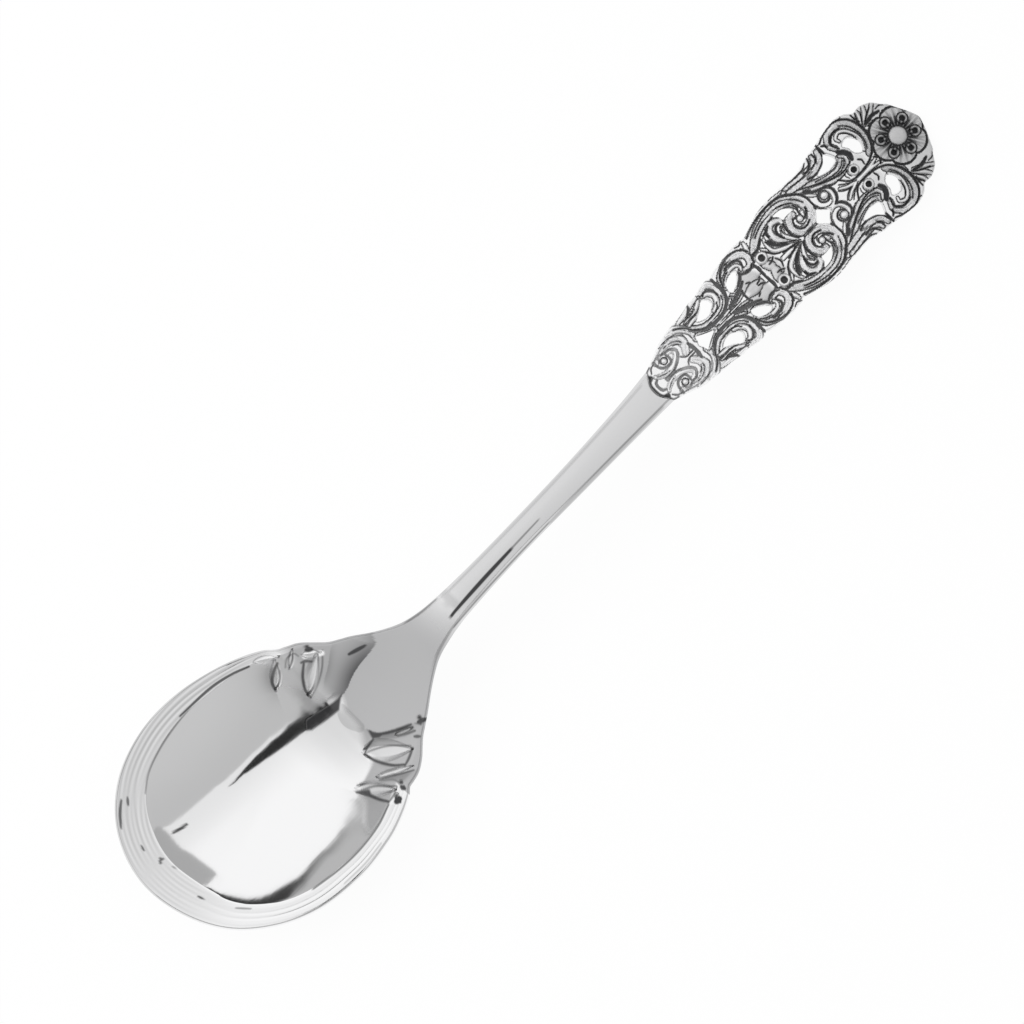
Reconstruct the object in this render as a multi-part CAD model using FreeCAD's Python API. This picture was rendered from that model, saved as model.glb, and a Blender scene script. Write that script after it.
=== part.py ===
import FreeCAD, Part
import math
import os
from FreeCAD import Vector

os.makedirs("parts", exist_ok=True)

# Jam spoon in cast and burnished silver, one piece. X runs from the bowl tip to the handle tip,
# Z is up, and the spoon lies on the underside of its bowl and of its handle tip.

# Main sizes
spoon_length = 149.5
bowl_width = 35.4
bowl_length = 36.0            # from the tip to where the shoulders run into the neck
bowl_depth = 7.4              # from the rim down to the inside of the bottom
wall = 1.1                    # sheet thickness of the bowl
rim_width = 2.6               # flat moulded rim round the hollow
rim_thickness = 1.2
bowl_lean = 3.4               # degrees, the bowl is set a little askew of the handle
rim_slope = 2.0               # degrees, the rim rises towards the neck
stem_width = 3.9              # at its narrowest
stem_thickness = 2.1
panel_length = 53.2           # pierced and chased handle
panel_width = 16.4
panel_thickness = 1.3
relief = 0.55                 # height of the chased scrolls above their ground
neck_length = 25.0            # from the shoulders to where the stem is slim
stem_arch = 3.2               # how far the stem rises above the shoulders
foot_level = 9.75             # top of the panel where it meets the stem

panel_foot = spoon_length - panel_length
bowl_middle = 0.56*bowl_length
lean = math.tan(math.radians(bowl_lean))
rim_rise = math.tan(math.radians(rim_slope))


# Small helpers for curves
def curve_through(points):
    curve = Part.BSplineCurve()
    curve.interpolate([Vector(*p) for p in points])
    return curve


# Levels along the spoon
rim_at_tip = bowl_depth + wall - bowl_middle*rim_rise


def rim_level(x):
    return rim_at_tip + x*rim_rise


def sideways(x):
    # The bowl leans to one side, and the neck leads back to the line of the stem.
    turn = bowl_length + 0.08*neck_length
    straight = bowl_length + neck_length
    if x <= turn:
        return (turn - x)*lean
    swing = (x - turn)/(straight - turn)
    return -0.016*neck_length*math.sin(math.pi*min(swing, 1.0))


# Outline of the bowl, half widths as a share of the full width from tip to shoulder
tip_profile = [
    (0.05, 0.23), (0.2, 0.396), (0.465, 0.4965), (0.75, 0.477), (1.0, 0.367),
]


def bowl_outline(inset):
    upper = []
    lower = []
    for share, half in tip_profile:
        x = share*bowl_length
        y = half*bowl_width
        x = bowl_middle + (x - bowl_middle)*(1 - inset/bowl_middle) if x < bowl_middle else x
        y = y - inset*min(1.0, 0.75 + 0.25*share)
        upper.append((x, sideways(x) + y, 0))
        lower.append((x, sideways(x) - y, 0))
    tip = (inset, sideways(inset), 0)
    edge = curve_through(upper[::-1] + [tip] + lower)
    closing = Part.makeLine(Vector(*lower[-1]), Vector(*upper[-1]))
    return Part.Face(Part.Wire([edge.toShape(), closing]))


def slab(x0, x1, top, bottom):
    # A plate that follows the slope of the rim, measured from the rim level.
    corners = [
        Vector(x0, 0, rim_level(x0) + bottom),
        Vector(x1, 0, rim_level(x1) + bottom),
        Vector(x1, 0, rim_level(x1) + top),
        Vector(x0, 0, rim_level(x0) + top),
    ]
    face = Part.Face(Part.makePolygon(corners + [corners[0]]))
    face.translate(Vector(0, -bowl_width, 0))
    return face.extrude(Vector(0, 2*bowl_width, 0))


def upright(face):
    return face.extrude(Vector(0, 0, 4*bowl_depth))


rim = upright(bowl_outline(0)).common(slab(-rim_width, bowl_length, 0, -rim_thickness))

# Thread mouldings: two shallow steps run round the rim inside its plain outer bead
for inset, width, depth in [(0.21, 0.13, 0.18), (0.52, 0.12, 0.15)]:
    outer = upright(bowl_outline(inset*rim_width))
    ring = outer.cut(upright(bowl_outline((inset + width)*rim_width)))
    ring = ring.common(slab(-rim_width, 0.8*bowl_length, rim_thickness, -depth*rim_thickness))
    rim = rim.cut(ring)

# Hollow and bulge of the bowl: a ball, and a cone that touches it and runs out into the neck,
# both turned about a level line above the rim, so the plan is egg-shaped
hollow_half = bowl_width/2 - rim_width
ball_radius = (hollow_half**2 + bowl_depth**2)/(2*bowl_depth)
turning_height = ball_radius - bowl_depth
hollow_tail = bowl_length + 0.3*neck_length    # where the hollow runs out into the neck


def dish(grow, tip_top, tail_top):
    # grow moves the surface outwards; the tops are how far above the rim it runs on.
    centre = Vector(bowl_middle, 0, turning_height)
    radius = ball_radius + grow
    reach = math.hypot(hollow_tail - bowl_middle, turning_height)
    taper = math.asin(ball_radius/reach) - math.atan2(turning_height, hollow_tail - bowl_middle)
    touch = centre + Vector(math.sin(taper), 0, -math.cos(taper))*radius
    run = (tail_top - touch.z)/math.tan(taper)
    tail = touch + Vector(run, 0, tail_top - touch.z)
    tip_drop = turning_height - tip_top
    tip = centre + Vector(-math.sqrt(radius**2 - tip_drop**2), 0, -tip_drop)
    bottom = centre + Vector(0, 0, -radius)
    axis_tip = Vector(tip.x, 0, turning_height)
    axis_tail = Vector(tail.x, 0, turning_height)
    edges = [
        Part.Arc(tip, bottom, touch).toShape(),
        Part.makeLine(touch, tail),
        Part.makeLine(tail, axis_tail),
        Part.makeLine(axis_tail, axis_tip),
        Part.makeLine(axis_tip, tip),
    ]
    profile = Part.Face(Part.Wire(edges))
    profile.rotate(axis_tip, Vector(1, 0, 0), 180)
    body = profile.revolve(axis_tip, Vector(1, 0, 0), 360)
    block = 3*bowl_length
    below = Part.makeBox(block, block, block, Vector(-rim_width, -block/2, max(tip_top, tail_top) - block))
    body = body.common(below)
    body.rotate(Vector(0, 0, 0), Vector(0, 1, 0), -rim_slope)
    body.translate(Vector(0, 0, rim_at_tip))
    body.rotate(Vector(bowl_length + 0.08*neck_length, 0, 0), Vector(0, 0, 1), -bowl_lean)
    return body


hollow = dish(0, 0.75*wall, 1.8*wall)
bulge = dish(wall, -0.35*wall, -0.35*wall)

# Neck and stem, one bar that narrows, rises and turns down to the handle
# Along the neck and the stem: share of the length, half width and rise, each as a share
shoulder = rim_level(bowl_length)
neck_shares = [
    (0.0, 0.367, 0.0), (0.12, 0.315, 0.047), (0.24, 0.247, 0.11), (0.38, 0.172, 0.235),
]
stem_shares = [
    (0.56, 0.92, 0.44), (0.76, 0.667, 0.67), (1.0, 0.564, 0.89),
]
stations = []
for share, half, rise in neck_shares:
    thick = rim_thickness + 0.85*share*(stem_thickness - rim_thickness)
    top = shoulder + rise*stem_arch
    crown = 0.07*share*stem_thickness
    stations.append((bowl_length + share*neck_length, half*bowl_width, top, thick, crown))
for share, half, rise in stem_shares:
    thick = rim_thickness + share*(stem_thickness - rim_thickness)
    top = shoulder + rise*stem_arch
    crown = 0.07*share*stem_thickness
    stations.append((bowl_length + share*neck_length, half*stem_width, top, thick, crown))
crown = 0.07*stem_thickness
stem_start = bowl_length + neck_length
stem_run = panel_foot - stem_start
for x, half, top in [
    (stem_start + 0.31*stem_run, 0.5, shoulder + stem_arch),
    (stem_start + 0.67*stem_run, 0.54, foot_level + 0.6*stem_arch),
    (panel_foot + 0.03*panel_length, 0.64, foot_level),
]:
    stations.append((x, half*stem_width, top, stem_thickness, crown))
bar_steps = 10


def between(x):
    # Half width, top level, thickness and crown at x, by a smooth curve through the stations.
    k = max(i for i in range(len(stations) - 1) if stations[i][0] <= x)
    a = stations[k]
    b = stations[k + 1]
    before = stations[k - 1] if k > 0 else a
    after = stations[k + 2] if k + 2 < len(stations) else b
    span = b[0] - a[0]
    t = (x - a[0])/span
    values = []
    for j in range(1, len(a)):
        slope_a = (b[j] - before[j])/(b[0] - before[0])*span
        slope_b = (after[j] - a[j])/(after[0] - a[0])*span
        start = (2*t**3 - 3*t**2 + 1)*a[j] + (t**3 - 2*t**2 + t)*slope_a
        values.append(start + (3*t**2 - 2*t**3)*b[j] + (t**3 - t**2)*slope_b)
    return values


def bar_section(x, half, top, thick, crown):
    bevel = 0.16*thick + crown
    y0 = sideways(x)
    bottom = top - thick
    points = [
        Vector(x, y0 - half*0.8, bottom),
        Vector(x, y0 + half*0.8, bottom),
        Vector(x, y0 + half, bottom + bevel),
        Vector(x, y0 + half, top - bevel*0.9),
        Vector(x, y0 + half - bevel, top - bevel*0.25),
        Vector(x, y0 + (half - bevel)*0.5, top + crown*0.7 - bevel*0.06),
        Vector(x, y0, top + crown),
        Vector(x, y0 - (half - bevel)*0.5, top + crown*0.7 - bevel*0.06),
        Vector(x, y0 - half + bevel, top - bevel*0.25),
        Vector(x, y0 - half, top - bevel*0.9),
        Vector(x, y0 - half, bottom + bevel),
    ]
    crest = Part.BSplineCurve()
    crest.interpolate(points[4:9])
    edges = [Part.makeLine(points[i], points[i + 1]) for i in range(4)]
    edges.append(crest.toShape())
    edges += [Part.makeLine(points[8], points[9]), Part.makeLine(points[9], points[10])]
    edges.append(Part.makeLine(points[10], points[0]))
    return Part.Wire(edges)


bar_end = 0.99999*stations[-1][0]
bar_places = [bowl_length + (bar_end - bowl_length)*i/bar_steps for i in range(bar_steps + 1)]
bar = Part.makeLoft([bar_section(x, *between(x)) for x in bar_places], True, False)

# Shoulder flutes: tapered scoops that point into the bowl, on both sides of the neck
# Each flute: rim end, inner end and radius at the rim, as shares of the bowl's length and width
left_flutes = [
    (0.961, 0.336, 0.872, 0.260, 0.021),
    (1.036, 0.308, 0.961, 0.251, 0.014),
    (1.100, 0.226, 0.944, 0.133, 0.028),
]
right_flutes = [
    (0.944, -0.347, 0.833, -0.260, 0.021),
    (1.033, -0.336, 0.903, -0.266, 0.014),
    (1.092, -0.288, 0.933, -0.167, 0.028),
    (1.144, -0.246, 1.067, -0.206, 0.014),
]


def scoop(x0, y0, x1, y1, radius):
    # A six-sided point, so the flute has crisp facets.
    radius = radius*bowl_width
    rim_end = x0*bowl_length
    inner_end = x1*bowl_length
    start = Vector(rim_end, y0*bowl_width, rim_level(rim_end) + 0.45*radius)
    end = Vector(inner_end, y1*bowl_width, rim_level(inner_end) - 0.35*wall)
    way = end - start
    across = way.cross(Vector(0, 0, 1)).normalize()
    down = way.cross(across).normalize()
    wires = []
    for centre, size in [(start, radius), (end, 0.2*radius)]:
        turns = [math.radians(60*k) for k in range(6)]
        corners = [centre + across*(size*math.cos(a)) + down*(size*math.sin(a)) for a in turns]
        wires.append(Part.makePolygon(corners + corners[:1]))
    return Part.makeLoft(wires, True, True)


bowl = rim.multiFuse([bulge, bar])
bowl = bowl.cut(hollow)
for flute in left_flutes + right_flutes:
    bowl = bowl.cut(scoop(*flute))

# Pierced handle, drawn flat with its foot at the origin, then tipped to lie on the table
# Places on it are in hundredths of its length and of its width
length_unit = panel_length/100
width_unit = panel_width/100
# Lobes of the edge from the foot to the tip: arcs by start, a point between and end
edge_arcs = [
    [(0, 0), (0.4, 5.5), (1.7, 9.8)],
    [(1.7, 9.8), (1.7, 15.2), (3, 18)],
    [(3, 18), (7.3, 24.4), (12.4, 27.1)],
    [(12.4, 27.1), (18.4, 28.7), (23.9, 30.5)],
    [(23.9, 30.5), (27.1, 33.2), (30.5, 32.3)],
    [(30.5, 32.3), (36.5, 36.6), (44.2, 35.1)],
    [(44.2, 35.1), (53.4, 43), (64.7, 41.8)],
    [(64.7, 41.8), (69.5, 44.5), (74.1, 46.6)],
    [(74.1, 46.6), (81.6, 50), (86.8, 43)],
    [(86.8, 43), (92.7, 37.8), (95.5, 26.8)],
    [(95.5, 26.8), (98.9, 14), (100, 0)],
]

# Through holes, half of the panel: one that spans the middle line is listed on its own
middle_holes = [
    [(17.3, 0), (17.8, 7), (22, 0)],
    [(60.7, 0), (62.7, 7), (65.2, 0)],
]
# Each side hole is a ring of arcs, by start, a point between and end
side_holes = [
    [[(20.5, 15.2), (23.7, 11.6), (26.1, 16.5)], [(26.1, 16.5), (25.8, 21.3), (24.4, 24.1)],
     [(24.4, 24.1), (22.7, 18.9), (20.5, 15.2)]],
    [[(31.8, 11.6), (32.3, 18.9), (34.6, 22.3)], [(34.6, 22.3), (36.1, 22.6), (36.3, 19.5)],
     [(36.3, 19.5), (34, 13.4), (31.8, 11.6)]],
    [[(53.4, 29.3), (56.4, 28), (58.3, 21.3)], [(58.3, 21.3), (56.4, 21), (54.7, 21.6)],
     [(54.7, 21.6), (54.3, 25.6), (53.4, 29.3)]],
    [[(69.2, 27.4), (71.8, 30.5), (73.7, 36)], [(73.7, 36), (74.8, 31.7), (75.2, 27.4)],
     [(75.2, 27.4), (72.2, 24.7), (69.2, 27.4)]],
    [[(78.8, 30.5), (81, 32.6), (82.7, 25.6)], [(82.7, 25.6), (82.5, 20.1), (81.4, 15.9)],
     [(81.4, 15.9), (79.9, 22), (78.8, 30.5)]],
]


def mirrored(points):
    return [(x, -y) for x, y in points]


def on_panel(x, y, level=0):
    return Vector(x*length_unit, y*width_unit, level)


def arc_ring(arcs, side, level):
    edges = []
    for arc in arcs:
        edges.append(Part.Arc(*[on_panel(x, side*y, level) for x, y in arc]).toShape())
    return Part.Wire(Part.__sortEdges__(edges))


def lobed_plate():
    edges = arc_ring(edge_arcs, 1, 0).Edges + arc_ring(edge_arcs, -1, 0).Edges
    outline = Part.Wire(Part.__sortEdges__(edges))
    return Part.Face(outline).extrude(Vector(0, 0, -panel_thickness))


def punched(outline):
    return Part.Face(outline).extrude(Vector(0, 0, 2*panel_thickness + 2*relief))


def ridge(points, width, height, creased=False):
    # A scroll band with a sharp crest, or with two crests and a groove between them.
    path = curve_through([on_panel(x, y) for x, y in points])
    width = width*width_unit
    length = path.length()
    tangents = [path.tangent(path.parameterAtDistance(length*i/40, path.FirstParameter))[0]
                for i in range(41)]
    turning = sum(a.getAngle(b) for a, b in zip(tangents, tangents[1:]))
    count = max(3, int(turning/0.62 + length/(0.4*panel_width)) + 2)
    wires = []
    for i in range(count):
        share = i/(count - 1)
        at = path.parameterAtDistance(length*share, path.FirstParameter)
        place = path.value(at)
        way = path.tangent(at)[0]
        across = Vector(-way.y, way.x, 0)
        swell = 0.35 + 0.65*math.sin(math.pi*(0.12 + 0.76*share))
        half = width*swell/2
        top = height*swell
        low = -0.5*relief
        if creased:
            profile = [(-half, low), (-0.55*half, top), (0, 0.5*top), (0.55*half, top), (half, low)]
        else:
            profile = [(-half, low), (0, top), (half, low)]
        corners = [place + across*s + Vector(0, 0, z) for s, z in profile]
        wires.append(Part.makePolygon(corners + corners[:1]))
    return Part.makeLoft(wires, True, False)


def tapered(x, y, radii, levels):
    # A small eight-sided boss or pit, through rings of the given radii and levels.
    sides = 8
    rings = []
    for radius, level in zip(radii, levels):
        corners = []
        for k in range(sides):
            a = 2*math.pi*k/sides
            spoke = Vector(radius*math.cos(a), radius*math.sin(a), 0)
            corners.append(on_panel(x, y, level) + spoke*width_unit)
        rings.append(corners)
    outlines = [rings[0], rings[-1]]
    for lower, upper in zip(rings, rings[1:]):
        for k in range(sides):
            m = (k + 1) % sides
            outlines.append([lower[k], lower[m], upper[m], upper[k]])
    faces = [Part.Face(Part.makePolygon(o + o[:1])) for o in outlines]
    body = Part.makeSolid(Part.makeShell(faces))
    if body.Volume < 0:
        body.reverse()
    return body


def knob(x, y, radius, height):
    return tapered(x, y, [radius, 0.9*radius, 0.5*radius], [-0.5*relief, 0.5*height, height])


def eyelet(x, y, radius, height):
    # A raised ring round a punched pit.
    ring = tapered(x, y, [radius, 0.8*radius], [-0.5*relief, height])
    return ring.cut(tapered(x, y, [0.4*radius, 0.55*radius], [-0.1*relief, 1.02*height]))


# Scroll bands of one half, each as points, width and whether a groove runs along it
scrolls = [
    # foot scroll with its leaf curling over
    ([(2.6, 7.3), (5.3, 3), (8.3, 3.7), (10.3, 7.9), (9.8, 12.8)], 4.3, False),
    ([(5.3, 15.2), (7.1, 18), (10.2, 18.3), (12.4, 15.2), (13, 7.9)], 5.5, False),
    ([(6, 21.3), (10.2, 24.4), (14.3, 22), (16.2, 15.9), (16, 7.9)], 4, False),
    # scroll round the first side hole and the leaf beside it
    ([(18.2, 17.1), (19.5, 11), (21.8, 7.6), (24.8, 7), (28, 11), (29.5, 18.3), (28.8, 26.2),
      (26.7, 29.3)], 6.1, True),
    # ribs that meet on the middle line
    ([(22.9, 1.8), (27.1, 2.1), (30.5, 3), (33.8, 5.2)], 2.4, False),
    ([(29.5, 6.7), (31.2, 8.5), (33.1, 10.7), (35, 12.2)], 3.7, False),
    # scroll round the second side hole
    ([(31.8, 21.3), (33.6, 28), (36.8, 31.1), (40, 28.7), (41.2, 21.3), (39.8, 16.5),
      (38.3, 18.3)], 5.5, True),
    # calyx below the fan
    ([(45.1, 18.3), (46.2, 11.6), (48.5, 6.1), (51.9, 2.7)], 2.4, False),
    # leaves of the fan
    ([(51.1, 6.4), (49.2, 9.8), (47.9, 15.2), (47.6, 20.1), (47.7, 24.4)], 2.4, False),
    ([(53.2, 5.8), (51.1, 11.6), (50.2, 19.5), (51.5, 25.6), (53.6, 23.5)], 4.9, False),
    # great scroll with its volute
    ([(44.2, 24.4), (48.3, 32.3), (53.8, 35.7), (58.8, 31.1), (61.5, 20.7), (60.9, 9.8), (57.9, 4.6),
      (55.6, 9.1), (55.6, 15.9), (57.5, 17.7)], 7.3, True),
    # volute above the middle hole
    ([(63.3, 14), (63.9, 7.3), (65.6, 3.4), (67.7, 5.5), (68.6, 12.2), (67.5, 18.3),
      (65.4, 18.9)], 3.7, False),
    # leaves that sweep to the third side hole
    ([(61.3, 36.6), (64.7, 29.9), (69.9, 22.3), (73.7, 20.4), (75.9, 25.6)], 5.2, False),
    ([(70.5, 15.9), (74.1, 14.6), (76.9, 18.3), (77.4, 23.2)], 2.4, False),
    ([(65, 34.1), (68.4, 32.9), (71.4, 34.8), (73.1, 41.5)], 3, False),
    # top scroll round the fourth side hole
    ([(77.1, 34.1), (76.5, 40.2), (80.1, 45.7), (83.3, 40.2), (84.6, 29.3), (83.6, 17.1),
      (82, 10.4)], 6.1, True),
    # shell leaves beside the flower
    ([(86.5, 31.7), (88, 36.6), (88.7, 40.9)], 3, False),
    ([(87.4, 29.9), (89.7, 34.1), (91.5, 37.2)], 3, False),
    ([(88.3, 27.4), (91, 30.2), (93.4, 31.7)], 3, False),
]

knobs = [
    (7.5, 10.7, 3.4, 0.9), (43, 32.3, 3.4, 0.9), (37.4, 10.7, 4.3, 1.0), (66, 12.2, 3.4, 1.0),
    (79.3, 9.8, 4, 0.9),
]
middle_knobs = [(13.3, 0, 3.7, 0.9), (36.5, 0, 4.9, 1.0), (69.9, 0, 3, 0.5)]
eyelets = [(43.6, 12.2, 4.9, 0.9), (76.3, 9.8, 4, 0.9)]

# Flower at the tip: a domed middle, six petals and an eyelet between each two of them
flower_place = (91.9, 0.0)
flower_radius = 23.2
flower_height = 1.1*relief
petals = 6


def from_flower(reach, turn):
    x0, y0 = flower_place
    across = reach*flower_radius
    return x0 + across*math.cos(turn)*width_unit/length_unit, y0 + across*math.sin(turn)


def flower():
    bodies = [knob(*flower_place, 0.34*flower_radius, 1.35*flower_height)]
    for k in range(petals):
        turn = 2*math.pi*k/petals
        spine = [from_flower(reach, turn) for reach in (0.5, 0.7, 0.93)]
        bodies.append(ridge(spine, 0.3*flower_radius, 0.8*flower_height, True))
        x, y = from_flower(0.66, turn + math.pi/petals)
        bodies.append(eyelet(x, y, 0.145*flower_radius, 0.65*flower_height))
    return bodies


plate = lobed_plate()
raised = []
for points, width, creased in scrolls:
    raised.append(ridge(points, width, relief, creased))
    raised.append(ridge(mirrored(points), width, relief, creased))
for x, y, radius, height in knobs:
    raised.append(knob(x, y, radius, relief*height))
    raised.append(knob(x, -y, radius, relief*height))
for x, y, radius, height in middle_knobs:
    raised.append(knob(x, y, radius, relief*height))
for x, y, radius, height in eyelets:
    raised.append(eyelet(x, y, radius, relief*height))
    raised.append(eyelet(x, -y, radius, relief*height))
panel = plate.multiFuse(raised + flower())

cuts = []
hole_start = -1.5*panel_thickness
for corners in middle_holes:
    ring = corners + mirrored(corners[1:-1])[::-1] + corners[:1]
    cuts.append(punched(Part.makePolygon([on_panel(x, y, hole_start) for x, y in ring])))
for arcs in side_holes:
    cuts.append(punched(arc_ring(arcs, 1, hole_start)))
    cuts.append(punched(arc_ring(arcs, -1, hole_start)))
panel = panel.cut(Part.makeCompound(cuts))

# The handle slopes down to the table from the end of the stem
panel_slope = math.degrees(math.asin((foot_level - panel_thickness)/panel_length))
panel.translate(Vector(-panel_length, 0, panel_thickness))
panel.rotate(Vector(0, 0, 0), Vector(0, 1, 0), panel_slope)
panel.translate(Vector(spoon_length - panel_thickness*math.sin(math.radians(panel_slope)), 0, 0))

spoon = bowl.fuse(panel)
box = spoon.optimalBoundingBox(True)
spoon.translate(Vector(-box.Center.x, -box.Center.y, -box.ZMin))
spoon = spoon.Solids[0] if len(spoon.Solids) == 1 else spoon
spoon.exportStep("parts/spoon.step")
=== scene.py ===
import math

import bpy
import numpy as np
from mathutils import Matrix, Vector


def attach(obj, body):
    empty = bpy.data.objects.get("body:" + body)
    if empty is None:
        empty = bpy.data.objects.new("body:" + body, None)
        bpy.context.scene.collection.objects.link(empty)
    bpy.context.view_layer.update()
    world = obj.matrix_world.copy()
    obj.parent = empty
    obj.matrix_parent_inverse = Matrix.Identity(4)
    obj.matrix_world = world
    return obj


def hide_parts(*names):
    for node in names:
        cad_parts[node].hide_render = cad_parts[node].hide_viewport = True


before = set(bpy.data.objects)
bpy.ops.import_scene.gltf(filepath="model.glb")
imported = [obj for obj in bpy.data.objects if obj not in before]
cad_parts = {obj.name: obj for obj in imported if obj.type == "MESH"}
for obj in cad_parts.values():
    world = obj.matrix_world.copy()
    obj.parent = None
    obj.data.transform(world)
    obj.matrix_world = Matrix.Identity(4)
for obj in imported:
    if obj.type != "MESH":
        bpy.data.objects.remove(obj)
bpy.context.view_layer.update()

bpy.ops.object.select_all(action="DESELECT")

# Bowl, neck and stem. Cast and hammered silver, burnished bright: a shallow egg-shaped bowl with a
# threaded rim, carved flutes where its shoulders meet the neck, and a slim stem with bevelled sides.
# The surface is drawn as spokes that run from the middle line of the spoon out to its edge.

# Drawn in millimetres from the tip of the bowl, and moved to the frame when the mesh is made
MM = 0.001
half_length = 74.75
side_shift = 1.07
floor_shift = 0.01


def curve(table, at):
    # A smooth line through the pairs of a table, read at one place or at many.
    xs = np.array([row[0] for row in table], float)
    ys = np.array([row[1] for row in table], float)
    slopes = np.gradient(ys, xs)
    at = np.clip(np.asarray(at, float), xs[0], xs[-1])
    k = np.clip(np.searchsorted(xs, at, side="right") - 1, 0, len(xs) - 2)
    span = xs[k + 1] - xs[k]
    t = (at - xs[k])/span
    a = (2*t**3 - 3*t**2 + 1)*ys[k] + (t**3 - 2*t**2 + t)*span*slopes[k]
    return a + (3*t**2 - 2*t**3)*ys[k + 1] + (t**3 - t**2)*span*slopes[k + 1]


def ease(low, high, value):
    t = np.clip((value - low)/(high - low), 0, 1)
    return t*t*(3 - 2*t)


bowl_centre = (20.0, 0.93)
# Outline: reach by angle round the front, then the two sides by their place along the spoon
front_reach = [
    (74.9, 17.68), (90, 17.8), (110, 18.5), (130, 19.6), (150, 20.35), (170, 20.45), (190, 19.85),
    (210, 19.25), (230, 18.4), (250, 17.9), (270, 17.8), (284.6, 18.31),
]
upper_edge = [
    (15.9, 18.71), (20, 18.73), (23, 18.36), (26, 17.66), (29, 16.72), (31, 15.92), (33, 14.94),
    (34.4, 14.05), (35.6, 12.95), (37, 12.15), (38.4, 11.35), (40, 9.8), (41.2, 8.6),
    (42.5, 7.75), (44, 6.86), (46, 5.4), (48, 4.15), (50, 3.18), (53, 2.42), (56, 2.1), (60, 1.9),
    (66, 1.78), (72, 1.77), (80, 1.85), (88, 2.1), (93, 2.35), (98.5, 2.8),
]
lower_edge = [
    (16, 16.46), (20, 16.87), (23, 16.92), (26, 16.58), (29, 16.0), (31, 15.32), (33, 14.46), (34, 13.9),
    (34.8, 13.25), (35.6, 13.1), (37, 12.74), (38, 12.22), (39, 11.5), (40, 10.6), (41, 9.75),
    (42, 9.1), (44, 7.8), (46, 6.4), (48, 5.12), (50, 4.05), (53, 3.22), (56, 2.76), (60, 2.5),
    (66, 2.3), (72, 2.26), (80, 2.38), (88, 2.5), (98.5, 2.7),
]
middle_line = [
    (20, 0.93), (26, 0.6), (32, 0.3), (38, -0.2), (44, -0.45), (50, -0.33), (58, -0.15), (98.5, -0.05),
]
# Height of the edge, depth of the hollow below it, and width of the rim
edge_level = [
    (0, 7.8), (20, 8.49), (36, 9.05), (39, 9.2), (42, 9.4), (45.5, 9.8), (50, 10.45), (55, 11.2),
    (61, 11.9), (72, 12.25), (85, 11.65), (98.5, 9.85),
]
bowl_drop = [
    (19, 7.4), (20, 7.4), (23, 7.1), (26, 6.3), (29, 5.05), (32, 3.5), (34, 2.36), (35.7, 1.4),
    (36.7, 1.05), (38, 0.82), (42, 0.4), (46, 0.12), (50, 0.0), (98.5, 0.0),
]
rim_front = [
    (90, 3.0), (110, 3.5), (122, 3.8), (135, 4.2), (147, 4.6), (170, 4.95), (185, 4.95), (197, 4.55),
    (209, 3.85), (219, 3.5), (229, 3.2), (238, 3.05), (250, 2.98), (270, 2.95),
]
rim_upper = [(20, 3.0), (25, 2.6), (28, 2.2), (31, 1.75), (34, 1.2), (38, 0.8), (45, 0.5), (98.5, 0.4)]
rim_lower = [(20, 2.95), (24, 2.75), (28, 2.5), (31, 2.4), (33.5, 2.3), (36, 1.8), (40, 1.0), (45, 0.5),
             (98.5, 0.4)]

# Flutes of the shoulders: inner end, rim end, half width and depth. Lobes are the same, raised,
# and pits are round: place, radius and depth.
flutes = [
    ((31.5, 9.3), (34.6, 12.2), 0.95, 0.5),
    ((35.0, 9.9), (37.4, 11.5), 0.4, 0.35),
    ((34.0, 5.5), (39.5, 8.7), 1.0, 0.55),
    ((29.2, -8.0), (33.3, -12.2), 1.15, 0.6),
    ((32.4, -9.0), (37.3, -11.6), 0.5, 0.4),
    ((33.5, -5.2), (38.9, -10.0), 1.75, 0.7),
    ((38.4, -6.8), (41.2, -8.0), 0.4, 0.3),
]
lobes = [
    ((32.2, 14.0), (35.1, 12.1), 0.6, 0.35),
    ((37.6, 9.9), (39.7, 8.3), 0.55, 0.35),
]
pits = [
    (42.5, -7.65, 0.45, 0.3), (32.6, -12.8, 0.55, 0.35), (34.4, -11.95, 0.4, 0.3),
    (38.8, 10.1, 0.45, 0.25),
]


def lens(x, y, start, end, half):
    # 0 at the border of a pointed oval, 1 on its middle line
    dx = end[0] - start[0]
    dy = end[1] - start[1]
    length = math.hypot(dx, dy)
    along = ((x - start[0])*dx + (y - start[1])*dy)/length**2
    across = ((x - start[0])*dy - (y - start[1])*dx)/length
    width = half*np.sin(np.pi*np.clip(along, 0, 1)**0.75) + 1e-6
    return np.clip(1 - np.abs(across)/width, 0, 1)*(along > 0)*(along < 1)


spoke_list = []                  # foot x, foot y, edge x, edge y, rim width, side
back_places = np.concatenate([
    np.arange(20.25, 28, 0.25), np.arange(28, 43.5, 0.125), np.arange(43.6, 50, 0.3),
    np.arange(50.2, 96.4, 0.6), np.arange(96.4, 98.5, 0.15)])
for x in back_places[::-1]:
    spoke_list.append((x, float(curve(middle_line, x)), x, float(curve(upper_edge, x)),
                       float(curve(rim_upper, x)), 1))
for angle in np.arange(90, 270.1, 1.0):
    reach = float(curve(front_reach, angle))
    spoke_list.append((*bowl_centre, bowl_centre[0] + reach*math.cos(math.radians(angle)),
                       bowl_centre[1] + reach*math.sin(math.radians(angle)),
                       float(curve(rim_front, angle)), 0))
for x in back_places:
    spoke_list.append((x, float(curve(middle_line, x)), x, -float(curve(lower_edge, x)),
                       float(curve(rim_lower, x)), -1))
spokes = np.array(spoke_list)
rim_rows = 46
bowl_rows = 66
row_share = np.concatenate([
    np.linspace(0, 1, rim_rows)**1.05, 1 + np.linspace(0, 1, bowl_rows + 1)[1:]])

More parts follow.
